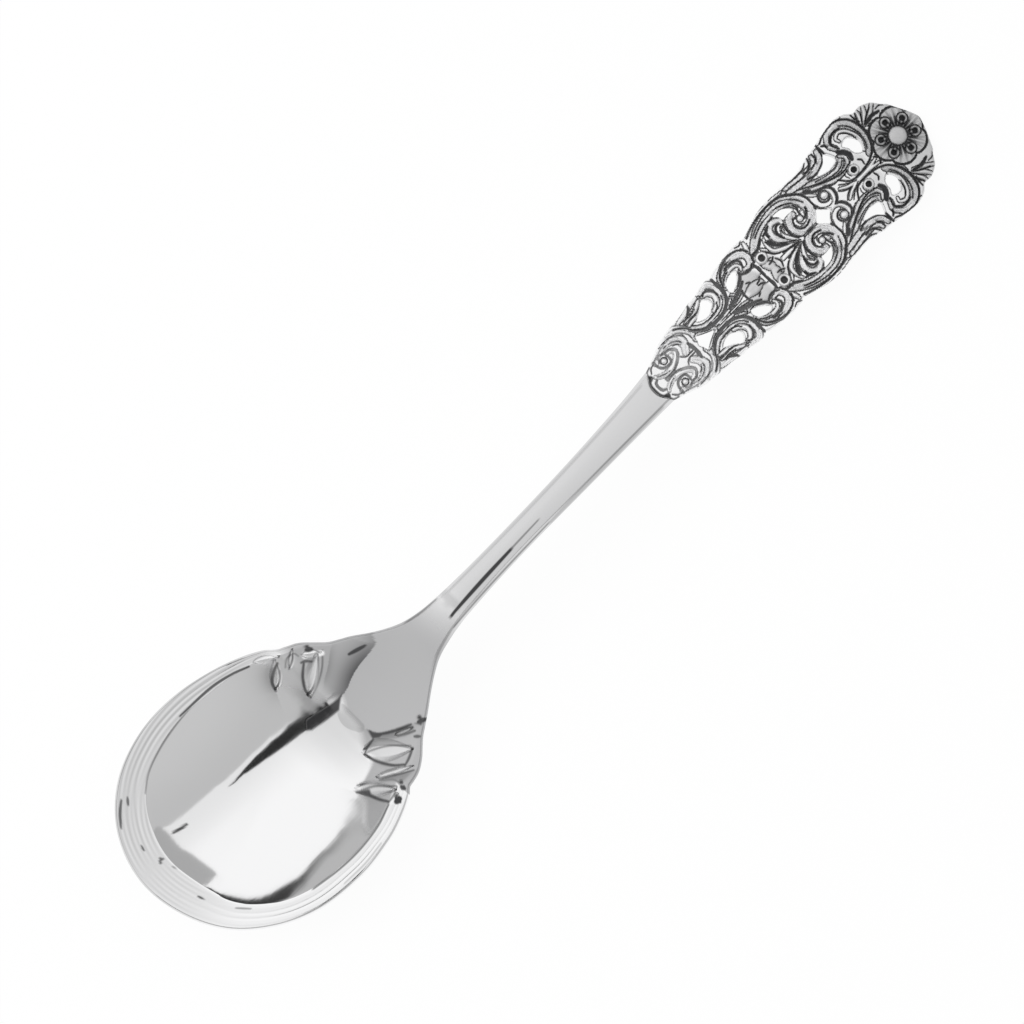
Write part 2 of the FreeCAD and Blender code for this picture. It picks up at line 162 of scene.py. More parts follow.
foot = spokes[:, None, 0:2]
edge = spokes[:, None, 2:4]
rim = spokes[:, None, 4]
side = spokes[:, None, 5]
reach = np.hypot(*(edge - foot).transpose(2, 0, 1))
fine_strip = 0.8
rim_zone = np.minimum(rim + fine_strip, 0.5*reach)
inset = np.where(row_share[None] <= 1, row_share[None]*rim_zone,
                 rim_zone + (row_share[None] - 1)*(reach - rim_zone))
share = 1 - inset/reach
X = foot[..., 0] + (edge[..., 0] - foot[..., 0])*share
Y = foot[..., 1] + (edge[..., 1] - foot[..., 1])*share

level = curve(edge_level, X)
drop = curve(bowl_drop, X)
within = np.clip((reach - inset)/np.maximum(reach - rim, 0.2), 0, 1)
dish = 1 - 1.08*within**2 + 0.08*within**4
Z = level - drop*dish
# rim threads, and the bead that rounds the outer edge
usual_rim = 3.4
threads = [(0.15, 0.05), (0.45, 0.06), (0.66, 0.05)]
bead_place, bead_height = 0.88, 0.05
fade = ease(37, 30, X)
scale = np.clip(rim/usual_rim, 0.75, 1.5)
for place, depth in threads:
    Z = Z - depth*scale*fade*np.exp(-((inset - place*rim)/(0.16*scale))**2)
Z = Z + bead_height*scale*fade*np.exp(-((inset - bead_place*rim)/(0.35*scale))**2)
rounding = 0.45*np.clip(1 - inset/0.5, 0, 1)**2
Z = Z - rounding
# crown of the stem, and its bevels
crown = 0.16
bevel_slope = 0.8
stem_part = ease(46, 58, X)
lateral = side*share
Z = Z + stem_part*crown*(1 - lateral**2)
bevel = np.where(side < 0, 0.75, 0.45)
Z = Z - stem_part*bevel_slope*np.clip(bevel - inset, 0, 5)
# step down under the foot of the handle
foot_step = 0.55
Z = Z - foot_step*ease(96.3, 97.2, X - 0.2*Y**2)
# carved shoulders
for start, end, half, depth in flutes:
    Z = Z - depth*np.minimum(1, 1.7*lens(X, Y, start, end, half))
for start, end, half, height in lobes:
    Z = Z + height*np.sqrt(lens(X, Y, start, end, half))
for x, y, radius, depth in pits:
    Z = Z - depth*np.exp(-((X - x)**2 + (Y - y)**2)/(0.6*radius)**2)

# Dark lines and soft shades round the flutes and on the rim, the neck and the stem: points, width
# and strength. Those along the flutes are partly patina in the carved recesses and partly painted
# reflection; the rest are painted reflections and painted shade. They are held by the mesh and stay in
# place from every side.
patina_and_reflection_marks = [
    # Painted reflection: a soft dark band across the top of the hollow's end wall, and the darkest
    # streak at the neck
    ([(35.9, 0.9), (35.5, -0.8), (35.8, -2.6)], 2.1, 0.24),
    ([(42.1, 5.3), (43.2, 4.95), (44.4, 4.55)], 0.5, 0.95),
    # Dark outlines of the flutes and the pits beside them: partly patina in the carved recesses, partly
    # painted reflection
    ([(31.4, 9.1), (31.9, 10.2), (33.2, 11.1), (34.4, 11.5)], 0.42, 0.85),
    ([(31.6, 9.3), (32.8, 9.6), (33.9, 10.6)], 0.2, 0.35),
    ([(34.9, 9.8), (36.2, 10.4), (36.7, 10.9)], 0.25, 0.7),
    ([(34.7, 10.3), (35.8, 11.0), (36.9, 10.8), (37.1, 10.1)], 0.2, 0.5),
    ([(34.1, 5.0), (34.3, 6.2), (35.4, 7.7), (36.9, 8.9)], 0.36, 0.9),
    ([(34.1, 5.0), (36.0, 5.5), (38.2, 6.7), (40.0, 8.3)], 0.22, 0.6),
    ([(36.7, 9.2), (37.3, 8.9), (37.8, 8.3)], 0.35, 0.8),
    ([(38.5, 9.9), (39.0, 9.5)], 0.75, 0.95),
    ([(29.0, -8.5), (29.9, -9.9), (30.6, -11.4), (31.3, -12.5)], 0.42, 0.92),
    ([(29.3, -8.7), (31.2, -9.6), (32.6, -10.9), (33.6, -11.8)], 0.24, 0.75),
    ([(31.1, -12.6), (32.4, -12.4), (33.6, -11.9)], 0.24, 0.7),
    ([(32.5, -9.6), (33.8, -10.2), (35.2, -11.1), (36.8, -12.0)], 0.24, 0.7),
    ([(32.6, -9.8), (33.9, -10.9), (34.3, -12.0)], 0.22, 0.5),
    ([(33.6, -5.8), (34.0, -7.4), (35.2, -9.4), (36.5, -10.6)], 0.36, 0.9),
    ([(33.6, -5.7), (34.8, -6.1), (36.8, -7.3), (38.9, -9.4)], 0.22, 0.65),
    ([(36.4, -10.7), (37.5, -10.4), (38.9, -9.8)], 0.3, 0.8),
    ([(33.6, -5.7), (34.6, -5.3), (36.0, -5.1)], 0.28, 0.85),
    ([(36.4, -4.0), (36.6, -4.7), (37.4, -5.5), (39.0, -6.5), (41.0, -7.4)], 0.4, 0.92),
    ([(38.6, -7.2), (39.8, -7.9), (40.8, -8.4)], 0.3, 0.8),
    ([(38.8, -6.9), (40.2, -7.4), (41.0, -7.9)], 0.2, 0.6),
    ([(40.2, -8.9), (40.7, -9.4)], 0.4, 0.8), ([(42.0, -7.9), (42.5, -8.1), (43.0, -8.4)], 0.6, 0.95),
    ([(32.1, -13.3), (32.6, -13.3)], 1.1, 1.0), ([(34.0, -12.4), (34.1, -12.8)], 0.7, 0.95),
    # Painted reflections on the rim: dark specks, a faint line near the tip, a dark streak and dark
    # crescents along the edge of the hollow
    ([(3.4, 11.4), (4.8, 12.9), (6.2, 14.0)], 0.42, 0.9), ([(6.3, 12.8), (6.9, 13.5)], 0.4, 0.85),
    ([(3.3, 6.9), (3.5, 7.6)], 0.32, 0.85), ([(3.6, 4.1), (4.0, 4.45), (4.3, 4.3)], 0.42, 0.9),
    ([(4.4, 2.7), (4.55, 2.1)], 0.25, 0.6), ([(3.9, -2.7), (4.15, -3.5)], 0.3, 0.9),
    ([(2.1, -1.2), (1.9, 1.5), (2.1, 4.2), (2.8, 7.0)], 0.12, 0.3),
    ([(6.3, -7.5), (7.7, -9.1)], 0.22, 0.6),
    ([(7.6, 5.75), (8.3, 5.5), (9.6, 5.2)], 0.42, 0.95),
    ([(9, 12.2), (11.5, 13.9), (15, 15.05), (18.5, 15.65), (22, 15.9)], 0.26, 0.6),
    ([(20, 16.1), (25.5, 15.75), (29, 14.95), (31.4, 14.0)], 0.38, 0.93),
    ([(15.5, -13.35), (20, -14.05), (24, -14.2), (28, -13.75), (31, -12.8)], 0.26, 0.8),
    ([(19, -15.9), (23, -16.05), (26.5, -15.7)], 0.2, 0.3),
    # Painted reflections on the stem: the dark stroke, the lines along its bevels and a soft shade
    # across it
    ([(55.3, -1.15), (57, -1.0), (62, -0.8), (68, -0.68)], 0.5, 1.0),
    ([(62, -0.8), (68, -0.66), (73, -0.6)], 0.22, 0.6),
    ([(55, -2.4), (60, -2.1), (66, -1.95), (74, -1.9)], 0.2, 0.6),
    ([(50.5, 2.75), (53, 2.2), (56, 1.9)], 0.2, 0.6), ([(57, 1.7), (57, 0.3), (57, -0.9)], 1.6, 0.18),
    # Painted shade where the stem steps down under the foot of the handle
    ([(98.0, -2.1), (97.4, -1.6), (96.85, -1.0), (96.7, 0), (96.85, 1.0), (97.4, 1.6), (98.0, 2.1)],
     0.3, 0.6),
    # Painted reflections: grey bands along the stem's edges
    ([(74, -2.0), (85, -2.05), (96, -2.2)], 0.5, 0.3),
    ([(58, 1.45), (74, 1.4), (88, 1.6), (96, 1.9)], 0.4, 0.16),
]
# Patches of patina and of painted reflection: corners and strength
patina_and_reflection_patches = [
    # Painted reflection: the dark end of the bowl's reflected stroke, where the hollow meets the neck
    ([(31.2, 3.4), (33.0, 3.05), (34.3, 2.7), (35.4, 2.4), (36.6, 2.25), (37.6, 2.3), (36.9, 1.9),
      (36.2, 1.4), (35.6, 0.95), (33.5, 1.2), (30.8, 1.75), (30.2, 2.3)], 0.97),
    # Dark corners and grey fills of the flutes: partly patina in the carved recesses, partly painted
    # reflection
    ([(28.9, -8.2), (29.8, -8.9), (30.6, -9.5), (30.2, -10.3), (29.5, -9.7)], 0.93),
    ([(36.3, -3.7), (36.9, -4.8), (37.8, -5.8), (36.7, -5.6), (35.9, -5.0)], 0.93),
    ([(36.6, -5.6), (37.9, -5.8), (40.9, -7.5), (40.9, -8.3), (39.4, -8.0), (38.0, -7.1)], 0.32),
    ([(33.9, -6.3), (36.7, -7.4), (38.6, -9.6), (36.8, -10.2), (35.4, -9.2)], 0.02),
    ([(30.9, -10.0), (32.6, -11.0), (33.4, -11.8), (31.5, -12.4)], 0.06),
    ([(33.0, -9.9), (34.9, -11.0), (36.4, -12.0), (34.7, -12.1)], 0.25),
    ([(41.5, -7.7), (43.0, -8.3), (41.9, -8.5)], 0.9),
    ([(32.0, 9.7), (33.4, 10.6), (34.3, 11.4), (33.2, 11.0)], 0.2),
    ([(34.6, 5.4), (36.2, 5.8), (38.1, 6.9), (39.5, 8.1), (37.4, 8.5), (35.6, 7.3)], 0.02),
]
# Painted shades, which stand for dark reflections, fading away to one side of a line: points, reach,
# strength, side
shades = [
    # the dark tail of the bowl's reflected stroke, along the neck
    ([(35.9, 2.1), (38.2, 2.3), (40.2, 3.0), (42.2, 3.4), (45.3, 3.7), (45.9, 4.3)], 2.0, 0.86, -1),
    ([(36.9, 5.0), (39.0, 6.2), (41.0, 7.6)], 0.6, 0.3, 1),
    ([(33.9, 11.9), (32.4, 10.9), (31.3, 8.9)], 1.3, 0.5, 1),
    ([(28.7, -8.0), (29.9, -10.2), (31.2, -12.8)], 1.2, 0.15, 1),
    ([(36.3, -3.6), (37.4, -5.4), (41.2, -7.4)], 0.9, 0.45, 1),
    ([(33.6, -5.8), (35.2, -9.4), (36.5, -10.6)], 0.6, 0.2, 1),
    ([(36.8, -12.0), (35.2, -11.1), (32.5, -9.6)], 0.7, 0.3, -1),
    ([(36.9, 8.9), (35.4, 7.7), (34.1, 5.0)], 0.6, 0.25, 1),
]


def smooth_line(pairs, per_span=8, closed=False):
    pts = np.array(pairs, float)
    if closed:
        pts = np.concatenate([pts[-1:], pts, pts[:2]])
    else:
        pts = np.concatenate([2*pts[:1] - pts[1:2], pts, 2*pts[-1:] - pts[-2:-1]])
    out = []
    for k in range(1, len(pts) - 2):
        for t in np.linspace(0, 1, per_span, endpoint=False):
            p0, p1, p2, p3 = pts[k - 1], pts[k], pts[k + 1], pts[k + 2]
            out.append(0.5*(2*p1 + (p2 - p0)*t + (2*p0 - 5*p1 + 4*p2 - p3)*t*t
                            + (3*p1 - p0 - 3*p2 + p3)*t**3))
    if not closed:
        out.append(pts[-2])
    return np.array(out)


def line_distance(gx, gv, pairs):
    # Distance to a smooth line, how far along it, and on which side
    line = smooth_line(pairs, 7)
    steps = np.hypot(*np.diff(line, axis=0).T)
    run = np.concatenate([[0], np.cumsum(steps)])
    run = run/run[-1]
    near = np.full(gx.shape, 1e9)
    share_at = np.zeros(gx.shape)
    lean = np.zeros(gx.shape)
    for k in range(len(line) - 1):
        (ax, ay), (bx, by) = line[k], line[k + 1]
        dx, dy = bx - ax, by - ay
        t = np.clip(((gx - ax)*dx + (gv - ay)*dy)/(dx*dx + dy*dy + 1e-12), 0, 1)
        gap = np.hypot(gx - ax - t*dx, gv - ay - t*dy)
        closer = gap < near
        near = np.where(closer, gap, near)
        share_at = np.where(closer, run[k] + t*(run[k + 1] - run[k]), share_at)
        lean = np.where(closer, np.sign((gx - ax)*dy - (gv - ay)*dx), lean)
    return near, share_at, lean


def border_distance(ring, gx, gv):
    # Distance to a closed line, positive inside it
    ring = np.array(ring)
    nearest = np.full(gx.shape, 1e9)
    inside = np.zeros(gx.shape, bool)
    for (ax, ay), (bx, by) in zip(ring, np.roll(ring, -1, axis=0)):
        dx, dy = bx - ax, by - ay
        t = np.clip(((gx - ax)*dx + (gv - ay)*dy)/(dx*dx + dy*dy + 1e-12), 0, 1)
        nearest = np.minimum(nearest, np.hypot(gx - ax - t*dx, gv - ay - t*dy))
        if abs(dy) > 1e-9:
            crosses = ((ay > gv) != (by > gv)) & (gx < ax + (gv - ay)*dx/dy)
            inside ^= crosses
    return np.where(inside, nearest, -nearest)


# Patina in the pits and carved recesses, together with painted reflections and painted shade, in one
# dark value
patina_and_painted_reflections = np.zeros(X.shape)
for corners, strength in patina_and_reflection_patches:
    patina_and_painted_reflections = np.maximum(patina_and_painted_reflections, strength*ease(-0.16, 0.2, border_distance(corners, X, Y)))
for pairs, width, strength in patina_and_reflection_marks:
    near, share_at, lean = line_distance(X, Y, pairs)
    half = 0.5*width*(0.55 + 0.45*np.sin(np.pi*(0.08 + 0.84*share_at)))
    patina_and_painted_reflections = np.maximum(patina_and_painted_reflections, strength*ease(half + 0.13, half - 0.07, near))
for pairs, fading, strength, turned in shades:
    near, share_at, lean = line_distance(X, Y, pairs)
    ends = np.sin(np.pi*(0.06 + 0.88*share_at))**0.5
    shade = strength*np.exp(-(near/fading)**1.3)*ends*((lean*turned > 0) | (near < 0.12))
    patina_and_painted_reflections = 1 - (1 - patina_and_painted_reflections)*(1 - shade)
for x, y, radius, depth in pits:
    patina_and_painted_reflections = np.maximum(patina_and_painted_reflections, np.exp(-((X - x)**2 + (Y - y)**2)/(0.6*radius)**2))

# The neck and the shoulders were only brushed: satin where the polished hollow ends
polish_end = curve([
    (-15, 25.5), (-12.5, 26), (-10.5, 28), (-8.5, 29.2), (-7.5, 32.3), (-5, 33.6), (-3, 34.8),
    (0, 35.3), (2.7, 35.6), (3.7, 33.2), (6, 32.5), (9, 30.6), (12, 31.2), (15, 31)], Y)
past_polish = X - polish_end
upper_shoulder = Y > 3.2
satin = np.where(upper_shoulder, ease(-1.5, 3.5, past_polish), ease(-0.2, 1.6, past_polish))
satin = satin*ease(61, 50, X)
satin = satin*np.where(X < 34, ease(-0.1, 0.5, inset - rim), 1.0)
# Painted highlights on the tops of the lobes, which are also less rough, and painted lighter floors of
# the flutes
painted_lobe_highlight = np.zeros(X.shape)
for pairs in ([(33.4, 13.6), (34.6, 12.9), (35.2, 12.2)], [(37.7, 9.5), (38.6, 8.9), (39.6, 8.1)]):
    painted_lobe_highlight = np.maximum(painted_lobe_highlight, ease(0.5, 0.25, line_distance(X, Y, pairs)[0]))
patina_and_painted_reflections = patina_and_painted_reflections*(1 - painted_lobe_highlight)
satin = satin*(1 - 0.7*painted_lobe_highlight)
# Painted shade: a darker base colour on the satin shoulders and neck and on the stem, standing for the
# grey they reflect
stem_painted_grey = 0.6
painted_grey = satin*np.where(upper_shoulder, ease(34.5, 37.5, X), 1.0)
painted_grey = np.maximum(painted_grey, stem_painted_grey*ease(50, 60, X))
# Painted light: the floors of the flutes keep less of the painted grey
flute_ground = np.zeros(X.shape)
for start, end, half, depth in flutes:
    flute_ground = np.maximum(flute_ground, np.minimum(1, 3*lens(X, Y, start, end, half)))
painted_grey = painted_grey*(1 - painted_lobe_highlight)*(1 - 0.6*flute_ground)
# Painted reflection: the rim grows greyer towards its upper side, in streaks
rim_tone = curve([(-18, 0), (-8, 0.03), (-3, 0.2), (3, 0.3), (12, 0.4), (20, 0.46)], Y)
rim_tone = ease(0.1, -0.3, inset - rim)*ease(37, 33, X)*rim_tone
streaks = 0.75 + 0.25*np.sin(9*inset + 0.5*X)*np.cos(0.35*Y)
patina_and_painted_reflections = np.maximum(patina_and_painted_reflections, rim_tone*streaks)

# The plain back, a wall's thickness below
under_share = np.array([1.0, 0.985, 0.96, 0.9, 0.8, 0.65, 0.5, 0.35, 0.2, 0.1, 0.0])
UX = foot[..., 0] + (edge[..., 0] - foot[..., 0])*under_share
UY = foot[..., 1] + (edge[..., 1] - foot[..., 1])*under_share
under_inset = reach*(1 - under_share)
under_within = np.clip((reach - under_inset)/np.maximum(reach - np.maximum(rim - 1.0, 0.3), 0.2), 0, 1)
under_drop = curve(bowl_drop, UX)
under_dish = 1 - 1.08*under_within**2 + 0.08*under_within**4
thickness = curve([
    (0, 1.15), (40, 1.25), (50, 1.6), (58, 2.0), (84, 2.1), (92, 1.95), (98.5, 1.58)], UX)
UZ = curve(edge_level, UX) - thickness - (under_drop - 0.05)*under_dish
UZ = UZ + np.array([0.3, 0.1, 0.02] + [0]*8)*np.where(UX > 48, 1.6, 1.0)

count, rows = X.shape
under_rows = UX.shape[1]
points = np.concatenate([
    np.stack([X, Y, Z], -1).reshape(-1, 3), np.stack([UX, UY, UZ], -1).reshape(-1, 3)])
faces = []
under_start = count*rows
for i in range(count - 1):
    for j in range(rows - 1):
        faces.append((i*rows + j, (i + 1)*rows + j, (i + 1)*rows + j + 1, i*rows + j + 1))
    for j in range(under_rows - 1):
        a = under_start + i*under_rows + j
        b = a + under_rows
        faces.append((a, a + 1, b + 1, b))
    a = under_start + i*under_rows
    faces.append((i*rows, a, a + under_rows, (i + 1)*rows))
for i, flip in ((0, False), (count - 1, True)):
    ring = [i*rows + j for j in range(rows)]
    ring += [under_start + i*under_rows + j for j in range(under_rows - 1, -1, -1)]
    faces.append(tuple(ring[::-1] if flip else ring))


def silver_piece(name, drawn, piece_faces):
    # A new object from points of the drawing, selected and active
    placed = (drawn - np.array([half_length, side_shift, -floor_shift]))*MM
    mesh = bpy.data.meshes.new(name)
    mesh.from_pydata(placed.tolist(), [], piece_faces)
    piece = bpy.data.objects.new(name, mesh)
    bpy.context.collection.objects.link(piece)
    bpy.context.view_layer.objects.active = piece
    piece.select_set(True)
    return piece


def store_values(piece, name, values):
    # One number for each point of a piece, for its material to read
    held = piece.data.attributes.new(name, "FLOAT", "POINT")
    held.data.foreach_set("value", values)


merge_gap = 0.000004
bowl_and_stem = silver_piece("bowl_and_stem", points, faces)
for name, values in (("patina_and_painted_light", patina_and_painted_reflections), ("satin", satin), ("painted_grey", painted_grey)):
    store_values(bowl_and_stem, name, np.concatenate([values.ravel(), np.zeros(UX.size)]))
bpy.ops.object.mode_set(mode="EDIT")
bpy.ops.mesh.select_all(action="SELECT")
bpy.ops.mesh.remove_doubles(threshold=merge_gap)
bpy.ops.mesh.normals_make_consistent(inside=False)
bpy.ops.object.mode_set(mode="OBJECT")
bpy.ops.object.shade_smooth_by_angle(angle=math.radians(50))
bowl_and_stem.select_set(False)


def add_node(kind, settings, values):
    # A shader node. Its settings come first, because they decide which inputs it has.
    node = nodes.new(kind)
    for name, value in settings.items():
        setattr(node, name, value)
    for name, value in values.items():
        node.inputs[name].default_value = value
    return node


# Base colours: bright silver, a painted grey for the grey that the shoulders, neck and stem reflect, and
# black for patina and painted reflections
bright_metal = (0.92, 0.92, 0.925, 1)
painted_grey_metal = (0.52, 0.52, 0.525, 1)
black_patina_and_reflection = (0.035, 0.035, 0.037, 1)
silver = bpy.data.materials.new("burnished_silver")
silver.use_nodes = True
nodes = silver.node_tree.nodes
links = silver.node_tree.links
shader = nodes["Principled BSDF"]
place = nodes.new("ShaderNodeTexCoord")
satin_part = add_node("ShaderNodeAttribute", {"attribute_name": "satin"}, {})
painted_grey_part = add_node("ShaderNodeAttribute", {"attribute_name": "painted_grey"}, {})
lines = add_node("ShaderNodeAttribute", {"attribute_name": "patina_and_painted_light"}, {})
painted_grey_mix = add_node("ShaderNodeMix", {"data_type": "RGBA"}, {"A": bright_metal, "B": painted_grey_metal})
links.new(painted_grey_part.outputs["Fac"], painted_grey_mix.inputs["Factor"])
tarnish_and_reflection = add_node("ShaderNodeMix", {"data_type": "RGBA"}, {"B": black_patina_and_reflection})
links.new(painted_grey_mix.outputs["Result"], tarnish_and_reflection.inputs["A"])
links.new(lines.outputs["Fac"], tarnish_and_reflection.inputs["Factor"])
links.new(tarnish_and_reflection.outputs["Result"], shader.inputs["Base Color"])
rough = add_node("ShaderNodeMapRange", {}, {"To Min": 0.07, "To Max": 0.33})
links.new(satin_part.outputs["Fac"], rough.inputs["Value"])
links.new(rough.outputs["Result"], shader.inputs["Roughness"])
metal = add_node("ShaderNodeMapRange", {}, {"From Min": 0.5, "To Min": 1.0, "To Max": 0.4})
links.new(lines.outputs["Fac"], metal.inputs["Value"])
links.new(metal.outputs["Result"], shader.inputs["Metallic"])
# hairline scratches from years of polishing
brush = add_node("ShaderNodeMapping", {}, {"Scale": (220, 2600, 1200)})
hair = add_node("ShaderNodeTexNoise", {}, {"Scale": 1.0, "Detail": 3.0})
links.new(place.outputs["Object"], brush.inputs["Vector"])
links.new(brush.outputs["Vector"], hair.inputs["Vector"])
bump = add_node("ShaderNodeBump", {}, {"Strength": 0.02, "Distance": 0.0001})
links.new(hair.outputs["Fac"], bump.inputs["Height"])
links.new(bump.outputs["Normal"], shader.inputs["Normal"])
bowl_and_stem.data.materials.append(silver)
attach(bowl_and_stem, "root")
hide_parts("spoon")

# Handle. A pierced panel of the same casting: scroll bands, leaves, eyelets and a small flower,
# chased on the face and left plain on the back, with dark patina kept in every recess and painted shade
# on the flanks of the bands.
# The relief is a fine field of heights, cut out along the lobed edge and the through holes.
panel_tip = 149.3
panel_thickness = 1.3
panel_fall = math.tan(math.radians(9.14))
grain = 0.094
panel_stretch = [
    (96, 0), (107, 0), (115, 0.1), (126, 0.25), (131, 0.3), (135, 0.5), (140, 0.62), (149.2, 0.6),
]


def half_side(pairs):
    # Places on one half of the panel, measured out from its middle line
    return [(x, y + 0.1 - 0.0094*(x - 93)) for x, y in pairs]


half_outline = [
    (96.8, 0), (96.85, 0.8), (97.15, 1.35), (97.75, 1.6), (97.5, 2.05), (97.75, 2.65), (98.6, 2.95),
    (100, 3.4), (102, 4.2), (104.3, 4.55), (107, 4.75), (108.5, 5.05), (110, 5.1), (111.5, 5.5),
    (112.6, 5.5), (113.2, 5.3), (114, 5.6), (116, 5.9), (118, 6.1), (119.5, 6.0), (120.3, 5.8),
    (122, 6.3), (124, 6.9), (126, 7.1), (128, 7.0), (130, 6.85), (132, 6.8), (133.5, 7.1),
    (134.5, 7.4), (136, 7.55), (137.3, 7.8), (139, 8.1), (140.5, 8.2), (142, 7.7), (143, 6.9),
    (144.3, 6.95), (145.8, 6.2), (146.8, 4.9), (147.3, 4.4), (148, 3.0), (148.6, 1.8), (149.1, 0.5),
    (149.2, 0),
]
holes = [
    [(107.7, 2.55), (109.3, 2.0), (110.75, 2.75), (110.7, 3.6), (109.9, 4.05), (109, 3.25)],
    [(113.8, 1.95), (114, 3.2), (115.2, 3.75), (116, 3.75), (116.15, 3.3), (115, 2.3)],
    [(125.2, 5.2), (126.8, 5.05), (127.85, 3.95), (126.8, 3.95), (125.9, 3.95), (125.7, 4.6)],
    [(133.5, 4.7), (135, 5.25), (135.9, 6.15), (136.25, 6.0), (136.8, 4.7), (136.2, 4.3), (134.8, 4.2)],
    [(138.7, 5.1), (139.5, 5.5), (140.2, 5.3), (140.85, 4.2), (140.7, 3.3), (140.1, 2.7), (139.3, 3.3),
     (139.1, 4.4)],
]
middle_holes = [
    [(105.6, 0), (105.85, 0.6), (106.0, 1.25), (107.2, 0.6), (108.5, 0), (107.2, -0.6),
     (106.0, -1.25), (105.85, -0.6)],
    [(128.8, 0), (129.4, 0.6), (130.1, 1.4), (130.8, 0.6), (131.5, 0), (130.8, -0.6), (130.1, -1.4),
     (129.4, -0.6)],
]
grid_x = np.arange(96.5, 149.6, grain)
grid_v = np.arange(-8.5, 8.501, grain)
GX, GV = np.meshgrid(grid_x, grid_v, indexing="ij")

# How far each place lies inside the edge of the plate or of a hole
upper_half = smooth_line(half_outline, 4)
outline = np.concatenate([upper_half, (upper_half*[1, -1])[-2:0:-1]])
solid = border_distance(outline, GX, GV)
for pairs in holes:
    ring = smooth_line(half_side(pairs), 4, closed=True)
    solid = np.minimum(solid, -border_distance(ring, GX, GV))
    solid = np.minimum(solid, -border_distance(ring*[1, -1], GX, GV))
for pairs in middle_holes:
    solid = np.minimum(solid, -border_distance(pairs, GX, GV))

